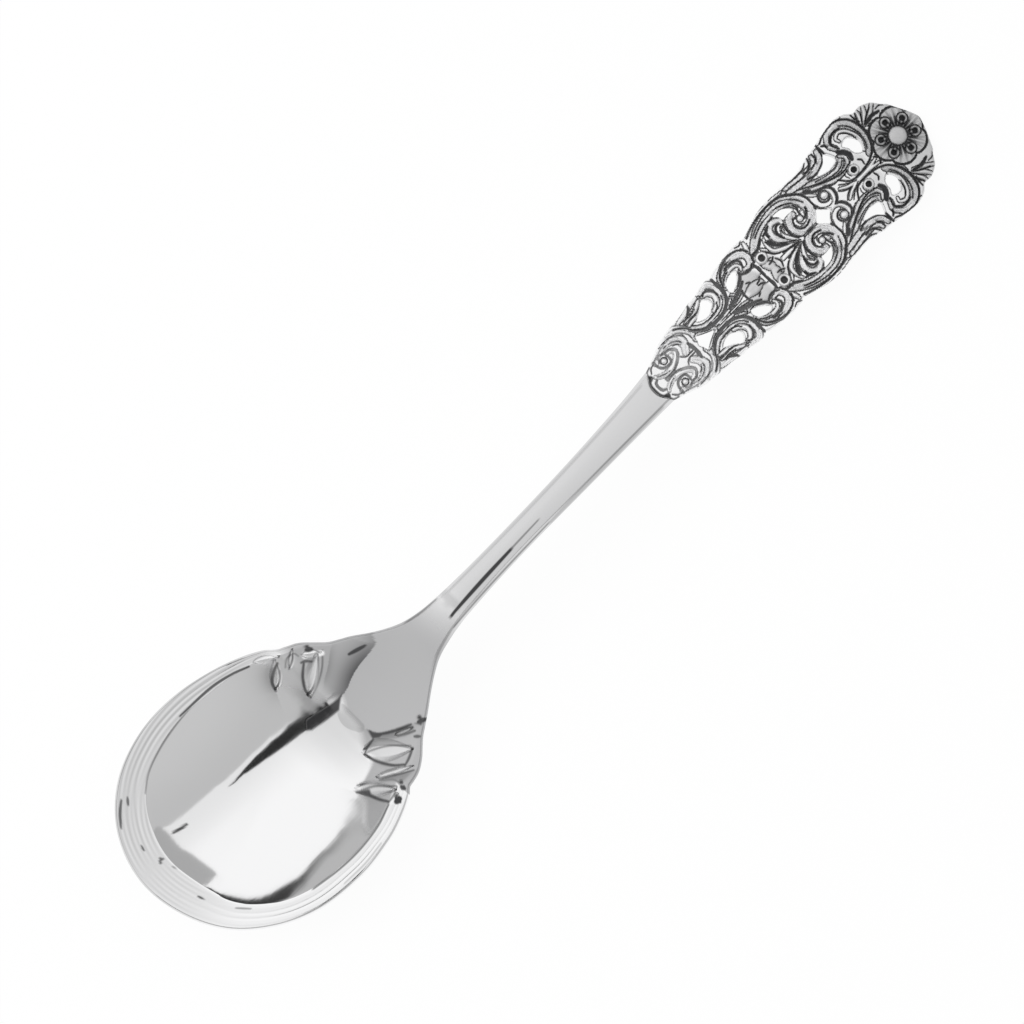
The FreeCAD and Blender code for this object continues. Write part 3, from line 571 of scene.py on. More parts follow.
# Scroll bands of one half: points, width, height and the number of grooves chased along them
bands = [
    ([(98.2, 1.2), (98.6, 0.9), (99.6, 0.55), (100.8, 0.6), (102, 1.1), (102.6, 1.8), (102.2, 2.3),
      (101.6, 2.4)], 0.8, 0.5, 0),
    ([(99.6, 2.6), (100.5, 3.3), (102, 3.75), (103.3, 3.4), (104.2, 2.6), (104.1, 1.4), (103.5, 0.6)],
     1.4, 0.55, 2),
    ([(99.5, 3.2), (102, 4.1), (104.5, 4.0), (105.6, 3.0), (106, 2.0), (105.8, 1.0)], 1.0, 0.45, 1),
    ([(106.2, 1.3), (107.5, 0.85), (108.6, 0.35), (111.5, 0.25)], 0.5, 0.4, 0),
    ([(106.4, 2.4), (107, 1.8), (108, 1.2), (109.5, 1.05), (111, 1.35), (112.3, 2.2), (112.8, 3.4),
      (112.6, 4.5), (111.8, 5.2), (110.4, 4.9)], 1.1, 0.6, 2),
    ([(110.6, 4.4), (111.3, 4.2), (111.8, 3.3), (111.3, 2.3), (110.3, 1.9)], 0.7, 0.45, 0),
    ([(106.5, 2.9), (108, 3.2), (109, 3.6), (109.6, 4.2), (110.1, 4.7)], 0.6, 0.5, 0),
    ([(106.3, 3.5), (108, 3.65), (109, 4.0), (109.8, 4.5)], 0.55, 0.45, 0),
    ([(105.6, 4.2), (107.2, 4.4), (108.5, 4.75), (109.8, 4.9)], 0.6, 0.45, 0),
    ([(111.7, 0.8), (112.8, 1.2), (114, 1.75), (115.2, 1.75)], 0.55, 0.5, 0),
    ([(109, 0.3), (111.5, 0.45), (113.5, 0.45), (114.8, 0.7)], 0.35, 0.4, 0),
    ([(113.6, 3.0), (114, 4.3), (115, 4.9), (116.2, 5.3), (117.5, 5.2), (118.6, 4.5), (118.7, 3.5),
      (118.2, 2.75), (117.3, 2.75), (116.8, 3.1)], 1.0, 0.6, 2),
    ([(113.7, 3.2), (114.5, 4), (115.6, 4.3), (116.7, 4.2), (117.1, 3.6), (116.9, 3.2)], 0.5, 0.45, 0),
    ([(113.9, 1.9), (115, 2.2), (116.2, 3.0)], 0.5, 0.45, 0),
    ([(115.4, 1.1), (116.3, 1.5), (117.3, 1.6), (118.2, 1.5)], 1.9, 0.3, 0),
    ([(115.1, 0.2), (116.4, 0.35), (117.6, 0.2)], 1.1, 0.3, 0),
    ([(119.7, 5.5), (119.6, 5.0), (119.4, 4.5), (119.5, 4.0)], 0.6, 0.4, 0),
    ([(120.8, 3.2), (121.4, 2.4), (122.2, 1.5), (123.5, 1.0), (125, 0.4)], 0.4, 0.45, 0),
    ([(119.3, 1.7), (120, 1.2), (120.8, 1.3)], 0.45, 0.4, 0),
    ([(119.6, 1.3), (120.1, 0.7), (120.2, 0)], 1.2, 0.35, 0),
    ([(121.9, 0.3), (123.2, 0.25), (124.6, 0.15)], 0.4, 0.35, 0),
    ([(125.3, 0.2), (123.5, 0.9), (122, 1.7), (121.7, 2.8), (122, 3.9)], 0.55, 0.5, 0),
    ([(125.2, 0.7), (124, 1.8), (123.2, 3.0), (123.4, 4.2), (124.3, 4.7), (125.3, 4.3), (125.4, 3.8)],
     0.95, 0.55, 1),
    ([(125.3, 0.6), (124.7, 1.5), (124.4, 2.3), (124.9, 3.3)], 0.5, 0.5, 0),
    ([(119.8, 3.7), (121, 4.6), (122.5, 5.4), (124.5, 5.9), (126.5, 5.9), (128.3, 5.2), (129.3, 4.0),
      (129.5, 2.7), (129.2, 1.6), (128.3, 0.9), (127, 0.75), (126.2, 1.2), (125.9, 2.2), (126.3, 3.2),
      (127.2, 3.4)], 1.4, 0.7, 3),
    ([(128.4, 2.9), (128.2, 2.4), (127.6, 2.6)], 0.5, 0.45, 0),
    ([(120.6, 5.75), (123, 6.65), (126, 6.95), (128.5, 6.75)], 0.35, 0.35, 0),
    ([(130.2, 1.9), (130.6, 1.0), (131.5, 0.4), (132.5, 0.5), (133, 1.3), (133.1, 2.2), (132.4, 3.0)],
     0.55, 0.5, 0),
    ([(134.3, 2.4), (133.0, 3.5), (131.4, 4.6), (129.3, 6.0)], 0.5, 0.5, 0),
    ([(130.2, 4.2), (130.8, 3.6), (131.4, 3.0)], 0.4, 0.4, 0),
    ([(128.5, 6.3), (130, 5.3), (132, 4.3), (134, 3.5), (135.8, 3.3), (137.1, 3.9), (137.2, 4.4)],
     1.1, 0.6, 2),
    ([(131, 4.3), (133.5, 3.0), (135.5, 2.5), (137.3, 2.9), (137.8, 3.8), (137.3, 4.5)], 0.6, 0.5, 1),
    ([(129, 6.6), (131.5, 6.3), (133.5, 6.2), (134.4, 6.6), (134.6, 7.2)], 0.7, 0.5, 1),
    ([(129, 5.9), (132, 5.5), (134, 5.6), (135.2, 6.2), (135.6, 7.2)], 0.9, 0.55, 2),
    ([(134.2, 1.3), (135.5, 0.6), (138, 0.35), (140.5, 0.7), (141, 1)], 0.45, 0.45, 0),
    ([(137.7, 5.6), (137.4, 6.6), (138.3, 7.6), (139.6, 7.9), (141, 7.1), (141.6, 5.8), (141.7, 4.3),
      (141.2, 2.8), (140.5, 1.8)], 1.1, 0.65, 2),
    ([(138.8, 5.9), (138.7, 6.5), (139.5, 6.9), (140.4, 6.3), (141, 5), (141, 3.8), (140.4, 2.6)],
     0.5, 0.45, 0),
    ([(136.4, 7.75), (138, 8.25), (139.8, 8.5), (141.2, 8.25)], 0.4, 0.4, 0),
    ([(142.6, 5.2), (143.1, 6.2), (143.4, 7.1)], 0.7, 0.5, 0),
    ([(142.9, 5.0), (144.0, 6.1), (144.6, 7.0)], 0.65, 0.5, 0),
    ([(143.2, 4.8), (144.6, 5.6), (145.8, 6.4)], 0.6, 0.5, 0),
    ([(142.2, 2.2), (142.3, 3.2), (142.4, 4.4)], 0.5, 0.45, 0),
]
# Round bosses and eyelets of one half: place, radius and height
bosses = [
    (100.6, 2.0, 0.42, 0.4), (132.2, 2.2, 0.55, 0.45), (127.6, 2.35, 0.45, 0.4),
]
rings = [(120.0, 2.3, 0.85, 0.5), (137.4, 1.75, 0.75, 0.5)]

# Dark lines cut between the bands and along the leaves: points and width
cuts = [
    ([(98.1, 1.9), (98.6, 2.5), (99.3, 2.7)], 0.2),
    ([(100.1, 2.0), (100.15, 2.5), (100.6, 2.95), (101.3, 2.7), (102.2, 2.6), (102.8, 1.9),
      (102.5, 1.2), (101.5, 0.5), (100.5, 0.1), (99, 0.1)], 0.36),
    ([(99.4, 2.9), (99.45, 2.0), (99.8, 1.4), (100.4, 1.15), (101.2, 1.2), (101.45, 1.8),
      (101.35, 2.4)], 0.36),
    ([(98.4, 1.1), (98.9, 0.85), (99.5, 0.6), (100.2, 0.5)], 0.14),
    ([(98.0, 0.8), (97.65, 0.6), (97.5, 0.2), (97.5, -0.3)], 0.4),
    ([(104.6, 1.3), (104.75, 0.5), (104.8, -0.1)], 0.55),
    ([(102.6, 0.8), (103, 0.35), (103.6, 0.2), (104.6, 0.2)], 0.22),
    ([(101.8, 3.25), (103, 3.1), (103.9, 2.5), (104.1, 2.0)], 0.14),
    ([(101.3, 3.7), (102.5, 3.8), (103.7, 3.6), (104.5, 3.0), (105, 2.4)], 0.14),
    ([(102.9, 2.6), (103.4, 2.4), (103.8, 1.95)], 0.16),
    ([(104.5, 4.1), (105.3, 3.6), (105.9, 3.0), (106.3, 2.3), (106.8, 1.6)], 0.25),
    ([(106.6, 2.0), (107.2, 1.4), (108.2, 0.95), (109.5, 0.7), (110.8, 0.75), (111.9, 1.2),
      (112.7, 1.9), (113.1, 2.8), (113.05, 4.0), (113.1, 5.2)], 0.45),
    ([(113.1, 2.6), (113.15, 3.6), (113.1, 4.6)], 0.5),
    ([(106.2, 1.25), (107.2, 0.75), (108.2, 0.3)], 0.12),
    ([(106.2, 3.45), (107.5, 3.4), (108.4, 3.5)], 0.13),
    ([(106.4, 3.8), (107.6, 3.75), (108.6, 3.95)], 0.13),
    ([(107.4, 4.15), (108.0, 4.5), (108.3, 5.0)], 0.35),
    ([(110.6, 4.4), (111.1, 4.65), (111.7, 4.4), (112.15, 3.8), (112.2, 3.1)], 0.3),
    ([(108.7, 1.55), (109.8, 1.55), (110.9, 1.9), (111.4, 2.5)], 0.14),
    ([(108.2, 1.15), (109.5, 1.1), (111, 1.3), (112, 1.9), (112.5, 2.7)], 0.12),
    ([(110.9, 0.15), (112.3, 0.35), (113.6, 0.6), (114.6, 0.95)], 0.12),
    ([(112.1, 0.65), (112.35, 0.95)], 0.14), ([(112.5, 0.8), (112.8, 1.15)], 0.14),
    ([(112.95, 1.05), (113.2, 1.45)], 0.14), ([(113.2, 1.8), (113.6, 1.35)], 0.14),
    ([(112.0, 0.45), (113.5, 0.95), (115, 1.45), (115.9, 1.9)], 0.4),
    ([(113.5, 3.2), (114.0, 4.3), (114.7, 5.0), (115.8, 5.55), (117, 5.75), (118.3, 5.5),
      (118.8, 5.0)], 0.28),
    ([(113.8, 3.5), (114.6, 4.1), (115.4, 4.35)], 0.14),
    ([(115.3, 4.8), (116.2, 4.9), (117.1, 4.7), (117.6, 4.1), (117.4, 3.4)], 0.32),
    ([(114.8, 5.1), (115.8, 5.25), (116.8, 5.2)], 0.1),
    ([(115.0, 1.9), (115.9, 2.4), (116.4, 3.0)], 0.4),
    ([(116.5, 2.7), (117.2, 2.35), (118, 2.35), (118.5, 2.7)], 0.3),
    ([(116.0, 1.4), (116.5, 1.15)], 0.16), ([(117.0, 0.25), (117.6, 0.4), (118.0, 0.7)], 0.2),
    ([(114.95, 1.1), (114.75, 0.5), (114.8, 0.0)], 0.3),
    ([(118.6, 2.4), (118.65, 1.2), (118.6, 0.0)], 0.4),
    ([(118.4, 5.9), (119.1, 5.7), (119.8, 6.1)], 0.15),
    ([(118.9, 5.2), (119.15, 4.6), (119.3, 4.3)], 0.3),
    ([(118.9, 2.6), (119.1, 3.2), (119.6, 3.45), (120.4, 3.5), (121.1, 3.8), (121.7, 4.25)], 0.38),
    ([(120.7, 2.7), (121.2, 2.1), (121.6, 1.5), (122.3, 1.0)], 0.2),
    ([(120.1, 0.95), (120.7, 1.0), (121.2, 1.3)], 0.2),
    ([(121.3, 0.95), (121.55, 0.4), (121.5, 0.0)], 0.2),
    ([(122.6, 0.75), (123.8, 0.5), (125.2, 0.25)], 0.25),
    ([(123.5, 0.15), (124.6, 0.1), (125.6, 0.05)], 0.15),
    ([(122.3, 4.25), (123.0, 4.4), (123.7, 4.75)], 0.35),
    ([(122.85, 4.3), (122.8, 3.9), (122.8, 3.6)], 0.4),
    ([(121.95, 3.4), (122.15, 2.8), (122.6, 2.2), (123.2, 1.6), (123.9, 1.1)], 0.42),
    ([(122.3, 3.3), (122.5, 2.8), (122.8, 2.4)], 0.4),
    ([(123.3, 1.9), (123.9, 1.4), (124.6, 0.95), (125.2, 0.6)], 0.15),
    ([(124.9, 3.95), (124.3, 3.8), (123.95, 3.2), (123.95, 2.5), (124.15, 2.0)], 0.35),
    ([(125.0, 3.5), (124.6, 2.9), (124.55, 2.3)], 0.15),
    ([(125.4, 3.4), (125.2, 2.6), (125.15, 1.8), (125.3, 1.1), (125.8, 0.6)], 0.3),
    ([(124.3, 5.05), (125.5, 5.25), (126.6, 5.15), (127.6, 4.6), (128.05, 3.9), (128.15, 3.4)], 0.2),
    ([(121, 5.1), (122.5, 5.75), (124.5, 6.25), (126, 6.3), (127.5, 5.9), (128.8, 4.9),
      (129.5, 3.6)], 0.1),
    ([(121.3, 4.9), (123, 5.5), (125, 5.75), (126.5, 5.65), (127.8, 5.0), (128.5, 4.2),
      (128.7, 3.4)], 0.12),
    ([(120.5, 5.6), (121.5, 6.1), (123.5, 6.6), (125.5, 6.75), (127.5, 6.5), (129, 5.6), (130, 4.6),
      (130.3, 3.4), (130.2, 2.2), (130.1, 1.4)], 0.3),
    ([(128.2, 4.3), (128.35, 3.7), (128.1, 3.2), (128.0, 2.8)], 0.25),
    ([(126.9, 3.05), (126.45, 2.5), (126.4, 1.8), (126.8, 1.25), (127.4, 0.95), (128.4, 1.25)], 0.22),
    ([(127.1, 2.9), (127.5, 2.3), (128.1, 2.0), (128.8, 2.25), (129.2, 2.9)], 0.3),
    ([(127.0, 2.4), (127.1, 1.8), (127.5, 1.5)], 0.14),
    ([(126.2, 0.35), (127.5, 0.3), (128.7, 0.35)], 0.15),
    ([(130.6, 4.5), (130.8, 4.3), (131.2, 4.0)], 0.6),
    ([(131.0, 3.9), (131.6, 3.45), (132.3, 3.2), (133.2, 2.9), (133.9, 2.4)], 0.3),
    ([(133.2, 2.6), (132.6, 3.0), (131.8, 2.9), (131.3, 2.4), (131.3, 1.8), (131.8, 1.35),
      (132.4, 1.35), (132.7, 1.9)], 0.26),
    ([(133.5, 2.5), (133.55, 1.8), (133.4, 1.1), (132.9, 0.5), (132.2, 0.1)], 0.4),
    ([(130.3, 2.6), (130.35, 2.0), (130.5, 1.4), (131.2, 0.6)], 0.18),
    ([(131.5, 4.55), (133, 3.75), (134.8, 3.25), (136.4, 3.25), (137.2, 3.8)], 0.13),
    ([(132.6, 4.35), (134.2, 3.85), (135.7, 3.7), (136.8, 4.0)], 0.12),
    ([(130, 5.35), (132.5, 4.0), (134.5, 2.95), (136.3, 2.55), (137.9, 2.9)], 0.22),
    ([(129.3, 6.9), (131, 6.75), (132.6, 6.8), (133.4, 7.2)], 0.2),
    ([(132.3, 6.25), (133.1, 6.2), (133.7, 6.6), (134.1, 7.4)], 0.3),
    ([(134.5, 6.05), (134.95, 6.6), (134.9, 7.35)], 0.2),
    ([(129.5, 6.4), (131.3, 6.0), (133.0, 5.8), (134.2, 6.1)], 0.12),
    ([(132.2, 5.3), (133.4, 5.0), (135, 5.5), (135.8, 6.3), (136.1, 7.4)], 0.28),
    ([(136.1, 7.9), (136.15, 7.0), (136.2, 6.2)], 0.3),
    ([(137.6, 5.0), (138.2, 4.4), (138.5, 3.6), (138.3, 2.95)], 0.75),
    ([(136.6, 7.2), (137.0, 6.9), (137.1, 6.5)], 0.3),
    ([(136.7, 7.6), (138, 8.15), (139.6, 8.35), (140.8, 8.05), (141.8, 7.2), (142.35, 6.0),
      (142.45, 4.5), (142.1, 3.2), (141.5, 2.3), (140.8, 1.6), (139.5, 1.0), (137.5, 0.75),
      (136.0, 1.0), (134.9, 2.3)], 0.3),
    ([(138.1, 5.2), (137.7, 6.2), (138.1, 7.0), (139, 7.35), (140.1, 7.2)], 0.32),
    ([(140.2, 7.5), (141.2, 6.3), (141.55, 4.8), (141.3, 3.3), (140.8, 2.5)], 0.12),
    ([(138.9, 6.4), (139.6, 6.6), (140.4, 5.9), (140.9, 4.6)], 0.12),
    ([(136.6, 2.3), (136.45, 1.8), (136.6, 1.3)], 0.1),
    ([(136.1, 2.4), (136.0, 1.8), (136.2, 1.3)], 0.1),
    ([(138.8, 2.35), (139.15, 1.9), (139.0, 1.25)], 0.22),
    ([(134.5, 1.75), (135.4, 1.05), (136.6, 0.45)], 0.14),
    ([(133.9, 1.15), (134.5, 0.65), (135.6, 0.25), (136.6, 0.1)], 0.2),
    ([(140.6, 1.0), (141.0, 0.6), (141.0, 0.3)], 0.25),
    ([(142.5, 7.3), (142.55, 6.6), (142.7, 5.8)], 0.25),
    ([(142.7, 5.2), (143.3, 6.0), (143.8, 6.7)], 0.16),
    ([(142.9, 5.0), (144.0, 5.7), (145.2, 6.25)], 0.2),
    ([(143.2, 4.95), (144.5, 5.2), (145.7, 4.95)], 0.5),
    ([(142.4, 5.4), (142.8, 6.3), (143.2, 7.1)], 0.14),
    ([(145.6, 5.5), (146.3, 5.5), (146.8, 5.1)], 0.16),
]

ground = 0.34
relief = np.full(GX.shape, ground)
across = np.abs(GV)


def column_range(placed, margin):
    xs = [p[0] for p in placed]
    low = int(max(0, (min(xs) - margin - grid_x[0])/grain))
    return slice(low, int((max(xs) + margin - grid_x[0])/grain) + 1)


def lay_band(pairs, width, height, grooves):
    # A rounded band that swells in its middle, with strands chased along it and a cut line round it.
    placed = half_side(pairs)
    part = column_range(placed, 1.2)
    near, share_at, lean = line_distance(GX[part], across[part], placed)
    swell = 0.45 + 0.55*np.sin(np.pi*(0.1 + 0.8*share_at))
    half = 0.56*width*swell
    place = np.clip(near/half, 0, 1)
    body = 0.16 + height*(0.6 + 0.4*swell)*np.sqrt(1 - place**2)
    if grooves:
        wave = 0.5 - 0.5*np.cos(np.pi*(grooves + 1)*(place*lean + 1))
        body = body*(0.55 + 0.45*wave)
    moat = 0.08 - 0.035*ease(107, 103, GX[part])
    painted = np.where(near < half, body, 0.02 + 0.16*ease(107, 103, GX[part]))
    relief[part] = np.where(near < half + moat, painted, relief[part])


def cut_line(pairs, width):
    # A dark line cut into the face, thin at its ends.
    placed = half_side(pairs)
    part = column_range(placed, 0.8)
    near, share_at, lean = line_distance(GX[part], across[part], placed)
    half = 0.46*width*(0.5 + 0.5*np.sin(np.pi*(0.12 + 0.76*share_at)))
    amount = ease(half + 0.06, half - 0.05, near)*(1 - 0.3*ease(107, 103, GX[part]))
    relief[part] = relief[part]*(1 - amount) - 0.06*amount


for pairs, width, height, grooves in bands:
    lay_band(pairs, width, height, grooves)
for pairs, width in cuts:
    cut_line(pairs, width)
for x, y, radius, height in bosses:
    v = half_side([(x, y)])[0][1]
    gap = np.hypot(GX - x, across - v)
    ball = 0.15 + height*np.sqrt(np.clip(1 - (gap/radius)**2, 0, 1))
    relief = np.where(gap < radius, ball, np.where(gap < radius + 0.12, 0.03, relief))
for x, y, radius, height in rings:
    v = half_side([(x, y)])[0][1]
    gap = np.hypot(GX - x, across - v)
    ring_body = 0.2 + height*np.sqrt(np.clip(1 - ((gap - 0.75*radius)/(0.3*radius))**2, 0, 1))
    relief = np.where(gap < 1.1*radius, np.where(gap < 0.55*radius, -0.1, ring_body), relief)

# Flower at the tip: a domed middle, six petals with hatched grooves and six eyelets between them
flower_x, flower_v = 145.15, 0.3
eyelet_ring = 2.5
dome_radius = 1.35
from_flower = np.hypot(GX - flower_x, GV - flower_v)
turn = np.arctan2(GV - flower_v, GX - flower_x)
petal = np.abs(np.cos(3*turn))**0.6
petal_reach = 3.3 + 0.65*petal
hatch = 0.5 + 0.5*np.cos(24*turn)
petal_body = 0.1 + 0.38*np.sqrt(np.clip(1 - ((from_flower - 2.9)/(petal_reach - 1.9))**2, 0, 1))
petal_body = petal_body*np.where(from_flower < 2.7, 0.2 + 0.8*hatch*petal, 0.6 + 0.4*hatch)
petal_body = petal_body*ease(1.3, 1.7, from_flower)
inside_flower = from_flower < petal_reach + 0.3
relief = np.where(inside_flower, np.where(from_flower < petal_reach, petal_body, 0.0), relief)
dome = 0.08 + 0.4*np.sqrt(np.clip(1 - (from_flower/dome_radius)**2, 0, 1))
relief = np.where(from_flower < 1.3, dome, relief)
for k in range(6):
    a = math.radians(30 + 60*k)
    gap = np.hypot(GX - flower_x - eyelet_ring*math.cos(a), GV - flower_v - eyelet_ring*math.sin(a))
    ring_body = 0.2 + 0.4*np.sqrt(np.clip(1 - ((gap - 0.55)/0.2)**2, 0, 1))
    relief = np.where(gap < 0.74, ring_body, np.where(gap < 0.86, 0.04, relief))
    relief = np.where(gap < 0.38, -0.1, relief)

# Dark where the relief is low: patina in the channels, and painted shade down the flanks of the bands.
# An even grey that grows towards the tip, with greys on the flower and a few soft grey spots.
recess_strength = [
    (96, 0.88), (106, 0.86), (113, 0.88), (122, 0.97), (136, 1.02), (143, 1.3), (150, 1.4),
]
even_grey = [
    (96, 0), (113, 0.02), (130, 0.04), (136, 0.08), (140, 0.16), (143, 0.3), (146, 0.4), (150, 0.4),
]
dome_grey = 0.46
recess_and_shade = 1 - ease(-0.03, 0.36, relief)
recess_and_shade = np.clip(recess_and_shade*curve(recess_strength, GX), 0, 1)
dusk = curve(even_grey, GX)
petal_dusk = 0.5 + 0.3*ease(2.6, 1.6, from_flower) + 0.4*(1 - hatch)*ease(3.7, 2.4, from_flower)
dusk = np.where(from_flower < dome_radius, dome_grey, np.where(inside_flower, petal_dusk, dusk))
# Painted shade along the front edge of the handle's foot, where it steps down onto the stem
recess_and_shade = np.maximum(recess_and_shade, 0.85*ease(0.34, 0.12, solid)*(GX < 98.6))
for x, v, radius, amount in [(116.6, 1.0, 2.0, 0.36), (120.3, 0.8, 1.5, 0.3), (138.4, 1.6, 1.8, 0.25)]:
    dusk = np.maximum(dusk, amount*ease(radius, 0.6*radius, np.hypot(GX - x, across - v)))
recess_and_shade = np.maximum(recess_and_shade, dusk)

# The face: each point of the field that is on the plate, with those at an edge moved onto it
edge_round = 0.3*np.clip(1 - solid/0.3, 0, 1)**2
top = relief*ease(0, 0.3, solid + 0.12) - edge_round
keep_cell = (solid[:-1, :-1] + solid[1:, :-1] + solid[1:, 1:] + solid[:-1, 1:])/4 > 0
used = np.zeros(GX.shape, int)
used[:-1, :-1] += keep_cell
used[1:, :-1] += keep_cell
used[1:, 1:] += keep_cell
used[:-1, 1:] += keep_cell
rim_point = (used > 0) & (used < 4)
slope_x, slope_v = np.gradient(solid, grain)
size = np.maximum(np.hypot(slope_x, slope_v), 0.3)
PX = np.where(rim_point, GX - np.clip(solid, -grain, grain)*slope_x/size, GX)
PV = np.where(rim_point, GV - np.clip(solid, -grain, grain)*slope_v/size, GV)
PX = PX + curve(panel_stretch, PX)
plane = panel_thickness + np.maximum(panel_tip - PX, 0)*panel_fall
number = -np.ones(GX.shape, int)
number[used > 0] = np.arange((used > 0).sum())
kept = used > 0
top_points = np.stack([PX[kept], PV[kept], (plane + top)[kept]], -1)
total = len(top_points)
cells = np.argwhere(keep_cell)
corner = number[cells[:, 0], cells[:, 1]]
corner_x = number[cells[:, 0] + 1, cells[:, 1]]
corner_xv = number[cells[:, 0] + 1, cells[:, 1] + 1]
corner_v = number[cells[:, 0], cells[:, 1] + 1]
top_faces = np.stack([corner, corner_x, corner_xv, corner_v], -1).tolist()
# the sides of the plate, straight down to the plain back
border = np.argwhere(rim_point)
below = -np.ones(total, int)
below[number[border[:, 0], border[:, 1]]] = total + np.arange(len(border))
BX, BV = PX[rim_point], PV[rim_point]
under_points = np.stack([BX, BV, np.maximum(panel_tip - BX, 0)*panel_fall], -1)
walls = []
back_edges = []
shown = np.pad(keep_cell, 1)
cell_sides = (
    (0, -1, (0, 0), (1, 0)), (1, 0, (1, 0), (1, 1)), (0, 1, (1, 1), (0, 1)), (-1, 0, (0, 1), (0, 0)),
)
for di, dj, first, second in cell_sides:
    open_side = ~shown[1 + di:1 + di + keep_cell.shape[0], 1 + dj:1 + dj + keep_cell.shape[1]]
    for i, j in np.argwhere(keep_cell & open_side):
        a = int(number[i + first[0], j + first[1]])
        b = int(number[i + second[0], j + second[1]])
        walls.append((a, int(below[a]), int(below[b]), b))
        back_edges.append((int(below[a]), int(below[b])))
back_patina = 0.3
handle = silver_piece("handle", np.concatenate([top_points, under_points]), top_faces + walls)
store_values(handle, "recess_and_shade", np.concatenate([recess_and_shade[kept], np.full(len(BX), back_patina)]))
bpy.ops.object.mode_set(mode="EDIT")
bpy.ops.mesh.select_all(action="DESELECT")
bpy.ops.object.mode_set(mode="OBJECT")
back_pairs = {tuple(sorted(pair)) for pair in back_edges}
for mesh_edge in handle.data.edges:
    mesh_edge.select = tuple(sorted(mesh_edge.vertices)) in back_pairs
for vertex in handle.data.vertices:
    vertex.select = vertex.index >= total
bpy.ops.object.mode_set(mode="EDIT")
bpy.ops.mesh.select_mode(type="EDGE")
bpy.ops.mesh.fill(use_beauty=False)
bpy.ops.mesh.select_mode(type="VERT")
bpy.ops.mesh.select_all(action="SELECT")
bpy.ops.mesh.normals_make_consistent(inside=False)
bpy.ops.object.mode_set(mode="OBJECT")
bpy.ops.object.shade_smooth_by_angle(angle=math.radians(60))
handle.select_set(False)

# Bright silver, and a black for the patina in the recesses and the painted shade on the flanks of the
# bands
rubbed_metal = (0.94, 0.94, 0.945, 1)
deep_patina_and_shade = (0.028, 0.028, 0.03, 1)
chased = bpy.data.materials.new("chased_silver")
chased.use_nodes = True
nodes = chased.node_tree.nodes
links = chased.node_tree.links
shader = nodes["Principled BSDF"]
depth = add_node("ShaderNodeAttribute", {"attribute_name": "recess_and_shade"}, {})
mottle = add_node("ShaderNodeTexNoise", {}, {"Scale": 2200.0, "Detail": 3.0})
place = nodes.new("ShaderNodeTexCoord")
links.new(place.outputs["Object"], mottle.inputs["Vector"])
uneven = add_node("ShaderNodeMath", {"operation": "MULTIPLY_ADD"}, {1: 0.1, 2: -0.05})
links.new(mottle.outputs["Fac"], uneven.inputs[0])
patina_and_painted_light = add_node("ShaderNodeMath", {"operation": "ADD", "use_clamp": True}, {})
links.new(depth.outputs["Fac"], patina_and_painted_light.inputs[0])
links.new(uneven.outputs["Value"], patina_and_painted_light.inputs[1])
tone = add_node("ShaderNodeMix", {"data_type": "RGBA"}, {"A": rubbed_metal, "B": deep_patina_and_shade})
links.new(patina_and_painted_light.outputs["Value"], tone.inputs["Factor"])
links.new(tone.outputs["Result"], shader.inputs["Base Color"])
shine = add_node("ShaderNodeMapRange", {}, {"To Min": 0.2, "To Max": 0.6})
links.new(patina_and_painted_light.outputs["Value"], shine.inputs["Value"])
links.new(shine.outputs["Result"], shader.inputs["Roughness"])
metal = add_node("ShaderNodeMapRange", {}, {"To Min": 1.0, "To Max": 0.4})
links.new(patina_and_painted_light.outputs["Value"], metal.inputs["Value"])
links.new(metal.outputs["Result"], shader.inputs["Metallic"])
handle.data.materials.append(chased)
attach(handle, "root")
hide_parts("spoon")

# Table top under the spoon: a smooth white sheet that keeps a faint shadow.
table_size = 6.0
bpy.ops.mesh.primitive_plane_add(size=table_size, location=(0, 0, 0))
table = bpy.context.active_object
table.name = "white_table"
bpy.ops.object.transform_apply(location=True, rotation=True, scale=True)
table.select_set(False)
white = bpy.data.materials.new("white_sheet")
white.use_nodes = True
nodes = white.node_tree.nodes
links = white.node_tree.links
paper = nodes["Principled BSDF"]
paper.inputs["Base Color"].default_value = (0.9, 0.9, 0.9, 1)
paper.inputs["Roughness"].default_value = 0.9
paper.inputs["Specular IOR Level"].default_value = 0.0
bright = add_node("ShaderNodeEmission", {}, {"Color": (1, 1, 1, 1), "Strength": 1.0})
rays = nodes.new("ShaderNodeLightPath")
either = add_node("ShaderNodeMath", {"operation": "MAXIMUM"}, {})
also = add_node("ShaderNodeMath", {"operation": "MAXIMUM"}, {})
links.new(rays.outputs["Is Camera Ray"], either.inputs[0])
links.new(rays.outputs["Is Glossy Ray"], either.inputs[1])
links.new(either.outputs["Value"], also.inputs[0])
links.new(rays.outputs["Is Transmission Ray"], also.inputs[1])
# the last 7 parts of 100 stay plain paper, which holds the shadow
amount = add_node("ShaderNodeMath", {"operation": "MULTIPLY"}, {1: 0.93})
links.new(also.outputs["Value"], amount.inputs[0])
blend = nodes.new("ShaderNodeMixShader")
links.new(amount.outputs["Value"], blend.inputs["Fac"])
links.new(paper.outputs["BSDF"], blend.inputs[1])
links.new(bright.outputs["Emission"], blend.inputs[2])
links.new(blend.outputs["Shader"], nodes["Material Output"].inputs["Surface"])
table.data.materials.append(white)

# Studio: a big soft box on one side that reaches past overhead, grey card on the other, a dark
# gap beside the soft box, all soft and far off, and a weak lamp that gives the shadow its side.
world = bpy.data.worlds.new("studio")
bpy.context.scene.world = world
world.use_nodes = True
nodes = world.node_tree.nodes
links = world.node_tree.links
sky = nodes["Background"]
sky.inputs["Strength"].default_value = 1.0
way = nodes.new("ShaderNodeTexCoord")
parts = nodes.new("ShaderNodeSeparateXYZ")
links.new(way.outputs["Generated"], parts.inputs["Vector"])


